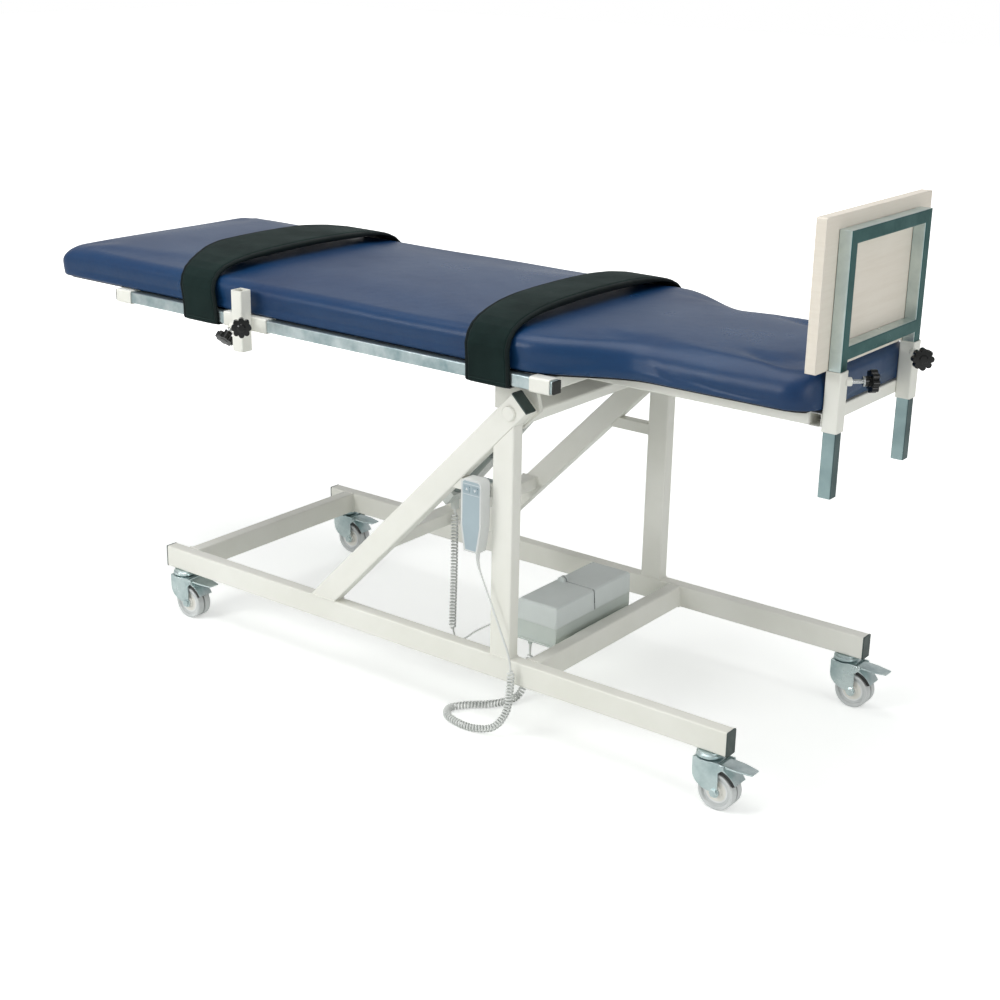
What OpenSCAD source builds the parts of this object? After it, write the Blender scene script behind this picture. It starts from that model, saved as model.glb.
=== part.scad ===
// Physiotherapy tilt table: a two-width padded top that tilts foot down on a
// wheeled tube base, driven by one electric linear actuator.
//
// Every piece is placed in base coordinates: X from the head end of the base
// rails towards the foot end, Y across from the middle plane, Z up from the
// underside of the base rails. stand() then moves it onto the floor.

/* [Base frame] */
// Length of the two base rails
rail_l = 1500; // [1450:5:1560]
// Height of the large painted tube
tube_h = 50; // [46:0.5:54]
// Width of the large painted tube
tube_w = 30; // [28:0.5:34]
// Wall of the painted base tubes
tube_wall = 2; // [1.5:0.1:3]
// Gap between the table frame's tubes and each side of the base
side_play = 10; // [9:0.5:14]
// Distance from the rails' head end to the head cross tube
head_cross_x = 45; // [30:1:90]
// Distance from the rails' head end to the mid cross tube
mid_cross_x = 1025; // [1015:1:1050]
// Distance from the rails' head end to the posts
post_x = 950; // [940:1:955]
// Middle of the diagonals' feet on the rails
diagonal_foot_x = 492; // [470:1:505]
// Height of the small tie tube's lower face
tie_z = 380; // [370:1:400]
// Side of the small square tubes, painted and zinc-plated
small_tube = 25; // [24:0.1:26]
// Wall of the small square tubes
small_wall = 1.5; // [1.2:0.1:2]
// Head-side face of the low cross tube that carries the actuator
low_tube_x = 613; // [608:1:618]
// Lower face of the low cross tube
low_tube_z = 189; // [180:1:192]
// Width of the low cross tube along the base
low_tube_w = 40; // [36:1:44]
// Height of the low cross tube
low_tube_h = 30; // [28:0.5:32]
// Thickness of the moulded end caps' outer plate
cap_t = 3; // [2:0.5:5]

/* [Tilt pivot] */
// Pivot place along the base
pivot_x = 988; // [985:1:992]
// Pivot height above the rails' underside
pivot_z = 560; // [555:1:563]
// How far the diagonals run on past the pivot
diagonal_over = 31; // [28:1:34]
// Radius of the pivot bolt's shank
pivot_bolt_r = 8; // [6:0.5:9]
// Radius of the pivot bolt's head
pivot_head_r = 15; // [13:0.5:17]
// Thickness of the pivot bolt's head
pivot_head_t = 6; // [4:0.5:8]

/* [Table top frame] */
// Distance between the outer faces of the trunk tubes
trunk_frame_w = 510; // [506:1:516]
// Distance between the outer faces of the leg tubes
leg_frame_w = 330; // [326:1:334]
// Head-side face of the knee cross tube
knee_x = 1053; // [1048:1:1058]
// Foot end of the table frame
frame_foot_x = 1572.5; // [1570:0.5:1574]
// Height of the table frame's underside above the pivot's middle line
frame_rise = 57.5; // [55:0.5:60]
// Thickness of the pivot plates
pivot_plate_t = 10; // [6:0.5:12]

/* [Cushion] */
// Head end of the cushion
cushion_head_x = -324; // [-330:1:-318]
// How far the trunk part stands out past the frame's tubes on each side
trunk_over = 49; // [46:0.5:50]
// How far the leg part stands out past the frame's tubes on each side
leg_over = 51; // [48:0.5:55]
// Where the trunk part starts to narrow
waist_start_x = 1010; // [1000:1:1020]
// Where the leg part reaches its own width
waist_end_x = 1240; // [1220:1:1260]
// Height of the cushion over its edges
cushion_edge_h = 68; // [64:1:72]
// Rise of the crown over the edges
cushion_crown = 8; // [4:0.5:12]
// Rounding along the long edges
cushion_round = 30; // [22:1:34]
// Thickness of the wooden board under the cushion
board_t = 12; // [9:0.5:14]

/* [Straps] */
// Thickness of the padded straps
strap_t = 6; // [4:0.5:7]
// Width of the straps where they pass the side rails
strap_side_w = 106; // [90:1:112]
// Width of the chest strap's padded middle
chest_pad_w = 176; // [120:1:184]
// Width of the thigh strap's padded middle
thigh_pad_w = 118; // [106:1:124]
// Middle of the chest strap where it passes the side rails
chest_strap_x = 167; // [150:1:170]
// Middle of the thigh strap where it passes the side rails
thigh_strap_x = 950; // [940:1:965]
// How far the chest strap's padded middle lies nearer the head end
chest_lean = 44; // [20:1:48]
// How far the thigh strap's padded middle lies nearer the head end
thigh_lean = 20; // [0:1:30]

/* [Side rails] */
// Head end of the zinc-plated side rails
side_rail_head_x = -108; // [-116:1:-102]
// Foot end of the zinc-plated side rails
side_rail_foot_x = 1098; // [1096:1:1106]
// Distance from the table frame's tubes to the side rails' middle line
rail_stand = 45; // [44:0.5:47]
// Length of the rail holders
holder_l = 46; // [40:1:50]

/* [Footboard] */
// Width of the footboard
board_w = 420; // [400:1:440]
// Height of the footboard
board_h = 270; // [250:1:290]
// Thickness of the footboard
footboard_t = 20; // [15:0.5:22]
// Distance between the middle lines of the footboard frame's legs
foot_leg_gap = 300; // [296:1:304]
// Length of the footboard frame's legs
foot_leg_l = 477; // [460:1:490]
// Length of the two sleeves that hold the legs
foot_sleeve_l = 110; // [100:1:116]
// Side of the sleeves that take a small tube
sleeve_side = 30; // [29:0.5:31]

/* [Rail clamp] */
// Head-side end of the clamp's sleeve
clamp_x = 238; // [232:1:260]
// Length of the clamp's sleeve
clamp_l = 125; // [116:1:140]
// Height of the accessory socket
socket_l = 130; // [110:1:150]
// Wall of the clamp's tubes
clamp_wall = 3; // [2:0.1:4]

/* [Star knobs] */
// Radius over the lobes of a star knob
knob_r = 21; // [18:0.5:23]
// Thickness of a star knob's lobed disc
knob_t = 12; // [9:0.5:14]
// Number of lobes of a star knob
knob_lobes = 8; // [6:1:9]
// Radius of a star knob's threaded stem
stem_r = 4; // [3:0.5:5]

/* [Casters] */
// Height of the casters, from the floor to the rails' underside
caster_h = 112; // [108:1:118]
// Diameter of the caster wheels
wheel_d = 75; // [70:1:77]
// Width over the twin wheels
wheel_w = 38; // [32:1:42]
// Trail of the axle behind the swivel axis
caster_trail = 25; // [20:1:28]
// Distance of the swivel axes from the rails' ends
caster_in = 40; // [34:1:46]
// Gauge of the pressed fork
fork_t = 3; // [2.5:0.5:4]

/* [Actuator] */
// Lower pin of the actuator along the base
low_pin_x = 633; // [630:1:636]
// Height of the actuator's lower pin
low_pin_z = 250; // [248:1:256]
// Upper pin of the actuator along the base
lever_pin_x = 918; // [914:1:920]
// Height of the actuator's upper pin
lever_pin_z = 578; // [574:1:580]
// Radius of the actuator's pins
pin_r = 6; // [5:0.5:7]
// Radius of the actuator's outer tube
actuator_r = 20; // [17:0.5:22]
// Radius of the actuator's rod
rod_r = 10; // [8:0.5:11]
// Radius of the motor
motor_r = 26; // [22:0.5:28]
// Length of the motor
motor_l = 125; // [100:1:140]

/* [Control box] */
// Width of the control box across the base
control_l = 280; // [260:1:290]
// Depth of the control box along the base
control_w = 105; // [96:1:110]
// Height of the control box
control_h = 90; // [80:1:96]

/* [Handset] */
// Width of the handset
handset_w = 50; // [46:1:56]
// Height of the handset
handset_h = 150; // [140:1:156]
// Depth of the handset
handset_t = 28; // [24:1:30]

/* [Cords] */
// Diameter of both cords
cord_d = 3.6; // [3.2:0.1:4]
// Outer diameter of the cords' curls
curl_d = 16.6; // [15:0.1:17]
// Curls of the handset cord
handset_curls = 36; // [24:1:38]
// Curls of the motor cord
motor_curls = 22; // [14:1:24]

/* [Hidden] */

$fn = 48;
// Colours, as the photograph shows them
paint = [0.90, 0.90, 0.86];
zinc = [0.62, 0.68, 0.70];
black = [0.10, 0.11, 0.11];
cap_grey = [0.27, 0.32, 0.30];
vinyl = [0.20, 0.27, 0.40];
strap_green = [0.15, 0.20, 0.19];
wood = [0.75, 0.62, 0.42];
cream = [0.88, 0.84, 0.78];
box_grey = [0.60, 0.66, 0.66];
light_grey = [0.82, 0.83, 0.82];
face_blue = [0.66, 0.74, 0.80];
tread_grey = [0.72, 0.75, 0.76];

// Clearances: running, sliding, a plug in its tube, a soft piece beside a hard one
run_gap = 0.05;
slide_gap = 0.1;
fit_gap = 0.2;
soft_gap = 0.4;
// Overrun of every cut
over = 1;

// Corner radius of a square or rectangular tube over its wall
tube_round_share = 1.75;
// Corner radius of the welded sleeves
sleeve_round = 3;

// Base frame: width, middle and inner face of the rails, slope and length of the diagonals
base_w = trunk_frame_w + 2 * (side_play + tube_w);
rail_y = base_w / 2 - tube_w / 2;
rail_in = base_w / 2 - tube_w;
diagonal_a = atan2(pivot_z - tube_h, pivot_x - diagonal_foot_x);
diagonal_l = norm([pivot_x - diagonal_foot_x, pivot_z - tube_h]) + diagonal_over;
// Place on the base where the diagonals' lower face has height z
function under_diagonal_x(z) =
    diagonal_foot_x + (z - tube_h) / tan(diagonal_a) + tube_h / 2 / sin(diagonal_a);
// End caps: length of the plug, corner radius of the plate
plug_depth = 12;
cap_round = 2;
// Bolt heads: bevel of the pivot bolt's head, rim and thickness of a pin's head
head_bevel = 2;
pin_head_rim = 3;
pin_head_t = 4;

// Table frame
frame_z = pivot_z + frame_rise;
frame_top = frame_z + small_tube;
trunk_y = trunk_frame_w / 2 - small_tube / 2;
leg_y = leg_frame_w / 2 - small_tube / 2;
rail_z = frame_z + sleeve_side / 2;
side_rail_y = trunk_frame_w / 2 + rail_stand;
holder_in = side_rail_y - sleeve_side / 2;
// Side rails stand out of the head holders; the knee holders start before the knee tube
rail_overhang = 2;
knee_holder_back = 6;
head_holder_x = side_rail_head_x + rail_overhang;
frame_head_x = head_holder_x + holder_l / 2 - small_tube / 2;
knee_holder_x = knee_x - knee_holder_back;
lever_tube_x = lever_pin_x - small_tube / 2;
middle_tube_x = 400;
// Pivot tube and plates
pivot_tube_in = rail_in - fit_gap;
pivot_tube_wall = 3;
pivot_plug_l = 24;
pivot_plate_y = trunk_y - small_tube / 2 + pivot_plate_t;
plate_head_reach = 69;
plate_foot_reach = 25;
plate_round = 41;
plate_drop = 10;

// Cushion: widths, board inset, rolls and corners at the head and foot, side shape
cushion_trunk_w = trunk_frame_w + 2 * trunk_over;
cushion_leg_w = leg_frame_w + 2 * leg_over;
cushion_z = frame_z + sleeve_side + 2 * soft_gap;
cushion_rim = cushion_z + cushion_edge_h;
cushion_foot_x = frame_foot_x - soft_gap;
board_inset = 22;
board_top = frame_top + board_t;
head_roll = 44;
head_lip = 37;
head_corner = 35;
head_round = 72;
head_round_run = 130;
foot_roll = 26;
foot_lip = 46;
foot_corner = 62;
crown_run = 120;
draw_in = 3;
round_share = 0.85;
side_shares = [[0, 0.35], [0.3, 0.75]];
crown_shares = [0.8, 0.55, 0.28, 0];

// Straps: height over the cushion, tight turn round the rail, end inside the rail
strap_lift = 32;
strap_turn = strap_t / 2 + soft_gap;
strap_end = 7;
pad_run = 1.6;
side_lean_share = 0.5;
strap_shares = [[0, 1], [0.2, 0.98], [0.4, 0.92], [0.6, 0.8], [0.74, 0.62], [0.84, 0.4],
                [0.91, 0.1], [0.96, -0.35], [0.99, -0.9]];

// Footboard: legs, bars, board corners and knobs
foot_leg_x = frame_foot_x + sleeve_side / 2;
foot_leg_y = foot_leg_gap / 2;
board_x = foot_leg_x - small_tube / 2 - footboard_t;
sleeve_drop = 7.5;
foot_sleeve_z = frame_z - sleeve_drop;
sleeve_top = foot_sleeve_z + foot_sleeve_l;
low_bar_rise = 18;
top_bar_rise = 246;
// How far the bars run into the legs' rounded edges
weld_in = 3;
low_bar_z = sleeve_top + low_bar_rise;
foot_top_z = sleeve_top + top_bar_rise;
footboard_z = sleeve_top + soft_gap;
board_corner = 3;
foot_knob_drop = 20;
foot_knob_z = sleeve_top - foot_knob_drop;
foot_knob_reach = 66;

// Star knobs: hub, lobes and the weld nut that the stem turns in
hub_r = 9;
hub_l = 12;
lobe_r = 6;
nut_r = 8;
nut_l = 11;
clamp_knob_reach = 51;

// Rail clamp: sleeve, socket and where their knobs sit
clamp_side = small_tube + 2 * slide_gap + 2 * clamp_wall;
socket_side = sleeve_side;
socket_bore = small_tube + 2 * fit_gap;
socket_shift = 7.5;
socket_rise = 9;
socket_knob_rise = 5;
socket_x = clamp_x + clamp_l / 2 + socket_shift;
socket_y = -side_rail_y - clamp_side / 2 - socket_side / 2;
socket_z = rail_z + socket_rise;
clamp_knob_in = 24;
clamp_knob_x = clamp_x + clamp_knob_in;

// Casters: stem, ball race, kingpin, fork, axle and pedal
axle_z = wheel_d / 2 - caster_h;
axle_r = 4;
caster_stem_r = 5;
caster_stem_l = 14;
race_r = 26;
race_h = 13.6;
race_shares = [[0.88, 0], [0.88, -0.2], [1, -0.38], [1, -0.74], [0.84, -1]];
king_r = 6;
king_head_r = 10;
king_head_t = 3.5;
fork_gap = 0.4;
fork_plate_t = 4;
fork_top_z = -race_h - fork_gap - fork_plate_t;
fork_in = wheel_w + 2;
fork_back = 24;
fork_front = 28;
ear_r = 6;
boss_r = 10;
// Wheel outline from bore to tread and from the middle groove to the face
wheel_shares = [[0, 1], [0.24, 1], [0.24, 0.72], [0.72, 0.72], [0.79, 0.94], [0.9, 1],
                [0.97, 0.96], [1, 0.86], [1, 0.12], [0.72, 0.12]];
pedal_x = 36;
pedal_z = -21;
pedal_pin_r = 2.5;
pedal_l = 61;
lever_t = 2;
lever_tip_share = 0.68;
shoe_gap = 3.5;
shoe_t = 8;
shoe_low_a = 30;
shoe_web_a = 60;
shoe_high_a = 80;
shoe_step_a = 10;

// Actuator: stations along its axis from the lower pin, housing, glands
actuator_a = atan2(lever_pin_z - low_pin_z, lever_pin_x - low_pin_x);
actuator_l = norm([lever_pin_x - low_pin_x, lever_pin_z - low_pin_z]);
lug_t = 6;
lug_wall = 9;
lug_gap = 28;
tongue_t = lug_gap - 2 * fit_gap;
housing_back = 15;
housing_s = pin_r + housing_back;
housing_l = 34;
housing_h = 54;
housing_wall = 3;
motor_y = -60;
tube_s = housing_s + housing_l;
rod_show = 58;
tube_end_s = actuator_l - rod_show;
rod_start_s = 190;
cavity_gap = 2;
wiper_l = 18;
// How far the upper pin wanders in the rod's slotted eye in mid-travel
wander_along = 7;
wander_across = 19;
eye_wall = 6;

// Control box: tray, draft, seam, bevel, its two glands, foot lip, lid groove and cable hood
tray_t = 3;
tray_z = 17;
tray_w = 200;
tray_in = 10;
control_gap = 20;
control_z = tray_z + tray_t;
control_x = mid_cross_x - control_gap - control_w;
seam_z = control_z + control_h / 2;
control_round = 8;
control_draft = 3;
seam_step = 1;
lid_bevel = 4;
gland_r = 5;
gland_l = 14;
gland_bore_l = 10;
lip_h = 4;
groove_w = 4;
groove_depth = 1.5;
groove_drop = 32;
hood_r = 10;
hood_w = 14;
control_gland_x = 925;
control_gland_y = -120;
motor_cord_y = -68;
motor_cord_z = 50;

// Handset: place, face plate, keys and hook
handset_x = 922;
handset_z = 270;
handset_gap = 2;
handset_back = -base_w / 2 - handset_gap;
handset_round = 10;
handset_taper = 54;
handset_low_w = 34;
handset_gland_l = 16;
handset_gland_tip_r = 3.5;
face_t = 2;
face_margin = 4;
key_w = 14;
key_h = 11;
key_drop = 26;
key_z = handset_z + handset_h - key_drop;
key_gap = 10;
key_places = [handset_x - key_gap, handset_x + key_gap];
key_rise = 1.2;
key_depth = 2;
key_foot = 1.5;
key_wall = 2.5;
hook_w = 30;
hook_t = 2.5;
cord_offset = 8;
handset_gland_z = handset_z - handset_gland_l;

// Cords: routes by hand, in base coordinates, round numbers
cord_r = cord_d / 2;
cord_ring = 3;
curl_start = 0.6;
motor_gland = [670, motor_y, 234];
motor_gland_r = 9;
motor_gland_l = 28;
handset_route = [[930, -311, 262], [930, -311, 252], [936, -311, 230], [962, -311, 175],
                 [992, -311, 110], [1010, -311, 70], [1016, -311, 40], [1017, -312, 0],
                 [1012, -316, -50], [990, -326, -88], [950, -336, -101], [905, -336, -103],
                 [865, -322, -103], [848, -292, -103], [868, -258, -103], [902, -225, -103],
                 [922, -190, -102], [927, -158, -98], [926, -132, -70], [925, -122, -30],
                 [925, -120, -4], [925, -120, 10]];
motor_route = [[670, -60, 244], [670, -60, 226], [670, -60, 150], [669, -60, 60],
               [667, -60, -20], [668, -60, -52], [678, -60, -72], [702, -61, -66],
               [736, -62, -38], [786, -64, -4], [836, -66, 28], [868, -68, 46],
               [882, -68, 50], [894, -68, 50]];
handset_curl_start = 240;
handset_tail = 26;
motor_curl_start = 18;
motor_tail = 300;

// Frame of reference: the middle of the outline box stands on the origin
corner_share = sqrt(2) / 2;
strap_y = side_rail_y + small_tube / 2 + soft_gap + strap_t / 2;
reach_max_x = foot_leg_x + (foot_knob_reach + knob_t / 2 + knob_r) * corner_share;
reach_min_y = socket_y - (clamp_knob_reach + knob_t / 2 + knob_r) * corner_share;
reach_max_y = strap_y + strap_t / 2;
centre_x = (cushion_head_x + reach_max_x) / 2;
centre_y = (reach_min_y + reach_max_y) / 2;

// Moves a piece from base coordinates onto the floor
module stand() translate([-centre_x, -centre_y, caster_h]) children();

// The piece and its mirror image across the middle plane
module both_sides() {
    children();
    mirror([0, 1, 0]) children();
}

// Plate lying in the XZ plane, from y0 to y0 + t, with a 2-D outline in x and z
module plate_xz(y0, t) translate([0, y0 + t, 0]) rotate([90, 0, 0]) linear_extrude(t) children();

// Rectangle from the origin's corner with round corners
module round_rect(w, h, r) {
    translate([r, 0]) square([w - 2 * r, h]);
    translate([0, r]) square([w, h - 2 * r]);
    for (x = [r, w - r], y = [r, h - r]) translate([x, y]) circle(r);
}

// Bar from the origin's corner with round edges along axis 0, 1 or 2
module round_bar(size, r, along) {
    w = along == 0 ? size[1] : size[0];
    h = along == 2 ? size[1] : size[2];
    translate([0, along == 1 ? size[1] : 0, 0])
        rotate([along == 2 ? 0 : 90, 0, along == 0 ? 90 : 0])
            linear_extrude(size[along]) round_rect(w, h, r, $fn = 16);
}

// Square tube from the origin's corner with round edges, open along axis 0, 1 or 2
module square_tube(size, wall, along) {
    r = wall * tube_round_share;
    inner = [for (i = [0:2]) i == along ? size[i] + 2 * over : size[i] - 2 * wall];
    start = [for (i = [0:2]) i == along ? -over : wall];
    difference() {
        round_bar(size, r, along);
        translate(start) round_bar(inner, r - wall, along);
    }
}

// Cylinder along Y, centred on the middle plane
module cross_rod(r, l) rotate([90, 0, 0]) cylinder(r = r, h = l, center = true);

// Moves into the diagonal's own axes: x along it, z square to it
module along_diagonal() translate([diagonal_foot_x, 0, tube_h]) rotate([0, -diagonal_a, 0]) children();

// Everything above the diagonals' lower face, for cutting what meets it
module above_diagonal() along_diagonal() translate([-tube_h, -base_w, -tube_h / 2])
    cube([2 * diagonal_l, 2 * base_w, diagonal_l]);

// Moves into the actuator's own axes: x from pin to pin, z square to it
module along_actuator() translate([low_pin_x, 0, low_pin_z]) rotate([0, -actuator_a, 0]) children();

caster_places = [[caster_in, -rail_y], [caster_in, rail_y],
                 [rail_l - caster_in, -rail_y], [rail_l - caster_in, rail_y]];

// The two long tubes that lie along the base
module base_rails() stand() color(paint) difference() {
    both_sides() translate([0, rail_in, 0]) square_tube([rail_l, tube_w, tube_h], tube_wall, 0);
    for (p = caster_places) translate([p[0], p[1], -over])
        cylinder(r = caster_stem_r + run_gap, h = tube_wall + 2 * over);
}

// Tubes across the base at the head and behind the posts
module base_cross_tubes() stand() color(paint)
    for (x = [head_cross_x, mid_cross_x]) translate([x, -rail_in, 0])
        square_tube([tube_w, 2 * rail_in, tube_h], tube_wall, 1);

// Posts from the rails up to the diagonals, cut along the diagonals' lower face
module posts() stand() color(paint) both_sides() difference() {
    translate([post_x, rail_in, tube_h])
        square_tube([tube_h, tube_w, pivot_z - tube_h], tube_wall, 2);
    above_diagonal();
}

// Slanting tubes that carry the pivot at their upper ends
module diagonals() stand() color(paint) both_sides() difference() {
    along_diagonal() translate([-tube_h, rail_in, -tube_h / 2])
        square_tube([diagonal_l + tube_h, tube_w, tube_h], tube_wall, 0);
    translate([diagonal_foot_x - 3 * tube_h, 0, -2 * tube_h]) cube([6 * tube_h, base_w, 3 * tube_h]);
    translate([pivot_x, rail_in - over, pivot_z]) rotate([-90, 0, 0])
        cylinder(r = pivot_bolt_r + run_gap, h = tube_w + 2 * over);
}

// Small tubes that tie each diagonal to its post
module post_ties() stand() color(paint) both_sides() difference() {
    tie_x = under_diagonal_x(tie_z) - small_tube;
    translate([tie_x, rail_y - small_tube / 2, tie_z])
        square_tube([post_x - tie_x, small_tube, small_tube], small_wall, 0);
    above_diagonal();
}

// Tube between the diagonals that carries the actuator's foot
module low_cross_tube() stand() color(paint) translate([low_tube_x, -rail_in, low_tube_z])
    square_tube([low_tube_w, 2 * rail_in, low_tube_h], tube_wall, 1);

// Moulded cap that fills a tube's end: the plate faces -X, the plug points +X
module end_cap(w, h, wall) {
    plug_w = w - 2 * wall - 2 * fit_gap;
    plug_h = h - 2 * wall - 2 * fit_gap;
    translate([-cap_t, 0, 0]) rotate([90, 0, 90]) linear_extrude(cap_t) round_rect(w, h, cap_round);
    translate([-over, wall + fit_gap, wall + fit_gap])
        round_bar([plug_depth + over, plug_w, plug_h], wall * (tube_round_share - 1), 0);
}

// Caps in the rails' four ends and the diagonals' two upper ends
module base_caps() stand() color(cap_grey) both_sides() {
    translate([0, rail_in, 0]) end_cap(tube_w, tube_h, tube_wall);
    translate([rail_l, rail_in, 0]) mirror([1, 0, 0]) end_cap(tube_w, tube_h, tube_wall);
    along_diagonal() translate([diagonal_l, rail_in, -tube_h / 2]) mirror([1, 0, 0])
        end_cap(tube_w, tube_h, tube_wall);
}

// Bolts through the diagonals that the table's pivot tube turns on
module pivot_bolts() stand() color(paint) both_sides() {
    bolt_in = rail_in - pivot_plug_l + fit_gap;
    translate([pivot_x, bolt_in, pivot_z]) rotate([-90, 0, 0])
        cylinder(r = pivot_bolt_r, h = base_w / 2 - bolt_in);
    translate([pivot_x, base_w / 2, pivot_z]) rotate([-90, 0, 0])
        rotate_extrude() polygon([[0, 0], [pivot_head_r, 0], [pivot_head_r, pivot_head_t - head_bevel],
                                  [pivot_head_r - head_bevel, pivot_head_t], [0, pivot_head_t]]);
}

// A pair of lugs across a pin: their roots lie at root_z, the pin at [x, z]
module lug_pair(x, z, root_z, root_w) both_sides() plate_xz(lug_gap / 2, lug_t) difference() {
    union() {
        polygon([[x - root_w / 2, root_z], [x + root_w / 2, root_z], [x + pin_r + lug_wall, z],
                 [x - pin_r - lug_wall, z]]);
        translate([x, z]) circle(pin_r + lug_wall);
    }
    translate([x, z]) circle(pin_r + run_gap);
}

// Pin with a flat head outside each lug
module lug_pin(x, z) translate([x, 0, z]) {
    cross_rod(pin_r, lug_gap + 2 * lug_t + over);
    both_sides() translate([0, lug_gap / 2 + lug_t, 0]) rotate([-90, 0, 0])
        cylinder(r = pin_r + pin_head_rim, h = pin_head_t);
}

// Lugs on the low cross tube
module actuator_lugs() stand() color(paint)
    lug_pair(low_pin_x, low_pin_z, low_tube_z + low_tube_h, low_tube_w - lug_t);

// Pin through the actuator's lower eye
module actuator_low_pin() stand() color(zinc) lug_pin(low_pin_x, low_pin_z);

// Bent plate on the mid cross tube that carries the control box
module control_tray() stand() color(paint) {
    tray_x = control_x + tray_in;
    translate([tray_x, -tray_w / 2, tray_z]) cube([mid_cross_x - tray_x, tray_w, tray_t]);
    translate([mid_cross_x - tray_t, -tray_w / 2, tray_z])
        cube([tray_t, tray_w, tube_h - tray_z - tray_t]);
}

// Half of the control box between z0 and z1, drawn in by `low` at z0 and `high` at z1
module control_half(z0, z1, low, high) intersection() {
    plate_xz(-control_l, 2 * control_l) polygon([[control_x + low, z0], [control_x + control_w - low, z0],
        [control_x + control_w - high, z1], [control_x + high, z1]]);
    rotate([90, 0, 90]) linear_extrude(2 * rail_l) polygon([[-control_l / 2 + low, z0],
        [control_l / 2 - low, z0], [control_l / 2 - high, z1], [-control_l / 2 + high, z1]]);
    translate([control_x, -control_l / 2, 0]) linear_extrude(z1 + over)
        round_rect(control_w, control_l, control_round);
}

// Gland along local +Z with its mouth at the origin, bored for a cord
module gland(l) difference() {
    cylinder(r = gland_r, h = l);
    translate([0, 0, -over]) cylinder(r = cord_r + soft_gap, h = gland_bore_l + over);
}

// Lower shell of the control box, with its foot lip and a gland for each cord
module control_base() stand() color(box_grey) {
    control_half(control_z, seam_z, control_draft, seam_step);
    translate([control_x, -control_l / 2, control_z]) linear_extrude(lip_h)
        round_rect(control_w, control_l, control_round);
    translate([control_gland_x, control_gland_y, control_z - gland_l]) gland(gland_l + over);
    translate([control_x - gland_l, motor_cord_y, motor_cord_z]) rotate([0, 90, 0])
        gland(gland_l + 2 * control_draft);
}

// Lid of the control box: bevelled top edge, a groove over it and down one side, and the
// rounded hood where the groove starts
module control_lid() stand() color(box_grey) {
    lid_z = control_z + control_h;
    side_x = control_x + control_w;
    groove_x = side_x - control_draft - groove_depth;
    difference() {
        union() {
            control_half(seam_z, lid_z - lid_bevel, 0, control_draft);
            control_half(lid_z - lid_bevel, lid_z, control_draft, control_draft + lid_bevel);
        }
        plate_xz(-groove_w / 2, groove_w) polygon([
            [control_x + 2 * hood_r, lid_z + over], [side_x + over, lid_z + over],
            [side_x + over, lid_z - groove_drop], [groove_x, lid_z - groove_drop],
            [groove_x, lid_z - lid_bevel - groove_depth],
            [groove_x - lid_bevel, lid_z - groove_depth], [control_x + 2 * hood_r, lid_z - groove_depth]]);
    }
    plate_xz(-hood_w / 2, hood_w) translate([control_x + 2 * hood_r, lid_z]) intersection() {
        circle(hood_r);
        translate([-hood_r, -over]) square([2 * hood_r, hood_r + over]);
    }
}

// Fixed top of every caster: stem in the rail, ball race and kingpin
module caster_tops() stand() color(zinc) for (p = caster_places) translate([p[0], p[1], 0])
    rotate_extrude() polygon(concat(
        [[0, caster_stem_l], [caster_stem_r, caster_stem_l], [caster_stem_r, 0]],
        [for (s = race_shares) [s[0] * race_r, s[1] * race_h]],
        [[king_r, -race_h], [king_r, fork_top_z - fork_gap], [king_head_r, fork_top_z - fork_gap],
         [king_head_r, fork_top_z - fork_gap - king_head_t], [0, fork_top_z - fork_gap - king_head_t]]));

// Pressed fork that swivels on the kingpin, with its axle bolt and pedal pin
module caster_fork(p) stand() color(zinc) translate([p[0], p[1], 0]) {
    fork_cap = -race_h - fork_gap;
    back_run = caster_trail - boss_r + fork_back;
    back_rise = fork_top_z - fork_back - axle_z;
    difference() {
        union() {
            translate([0, 0, fork_top_z]) cylinder(r = race_r + over, h = fork_cap - fork_top_z);
            translate([-fork_back, -fork_in / 2 - fork_t, fork_top_z])
                cube([fork_back + fork_front, fork_in + 2 * fork_t, fork_cap - fork_top_z]);
            both_sides() plate_xz(fork_in / 2, fork_t) {
                polygon(concat(
                    [[-fork_back, fork_cap], [pedal_x + ear_r, fork_cap], [pedal_x + ear_r, pedal_z],
                     [caster_trail + ear_r, pedal_z - 2 * ear_r], [caster_trail + ear_r, axle_z]],
                    [for (a = [90:-15:0]) [caster_trail - boss_r - back_run * cos(a),
                        axle_z + back_rise - back_rise * sin(a)]]));
                translate([caster_trail, axle_z]) circle(boss_r);
                translate([pedal_x, pedal_z]) circle(ear_r);
            }
        }
        translate([0, 0, fork_top_z - over]) cylinder(r = king_r + run_gap, h = race_h);
        translate([caster_trail, 0, axle_z]) cross_rod(axle_r + run_gap, 2 * wheel_w);
        translate([pedal_x, 0, pedal_z]) cross_rod(pedal_pin_r + run_gap, 2 * wheel_w);
    }
    translate([caster_trail, 0, axle_z]) {
        cross_rod(axle_r, fork_in + 2 * fork_t + over);
        both_sides() translate([0, fork_in / 2 + fork_t + run_gap, 0]) rotate([-90, 0, 0])
            cylinder(r = 2 * axle_r, h = axle_r, $fn = 6);
    }
    translate([pedal_x, 0, pedal_z]) {
        cross_rod(pedal_pin_r, fork_in + 2 * fork_t + over);
        both_sides() translate([0, fork_in / 2 + fork_t + run_gap, 0]) rotate([-90, 0, 0])
            cylinder(r = 2 * pedal_pin_r, h = over);
    }
}

// Twin wheels on one sleeve: rounded treads, dished outer faces, a groove between
module caster_wheels(p) stand() color(tread_grey) translate([p[0] + caster_trail, p[1], axle_z]) {
    bore = axle_r + run_gap;
    half = wheel_w / 2;
    side = [for (s = wheel_shares) [bore + s[0] * (wheel_d / 2 - bore), s[1] * half]];
    rotate([90, 0, 0]) rotate_extrude($fn = 96) polygon(concat(
        side, [for (i = [len(side) - 1:-1:0]) [side[i][0], -side[i][1]]]));
}

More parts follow.
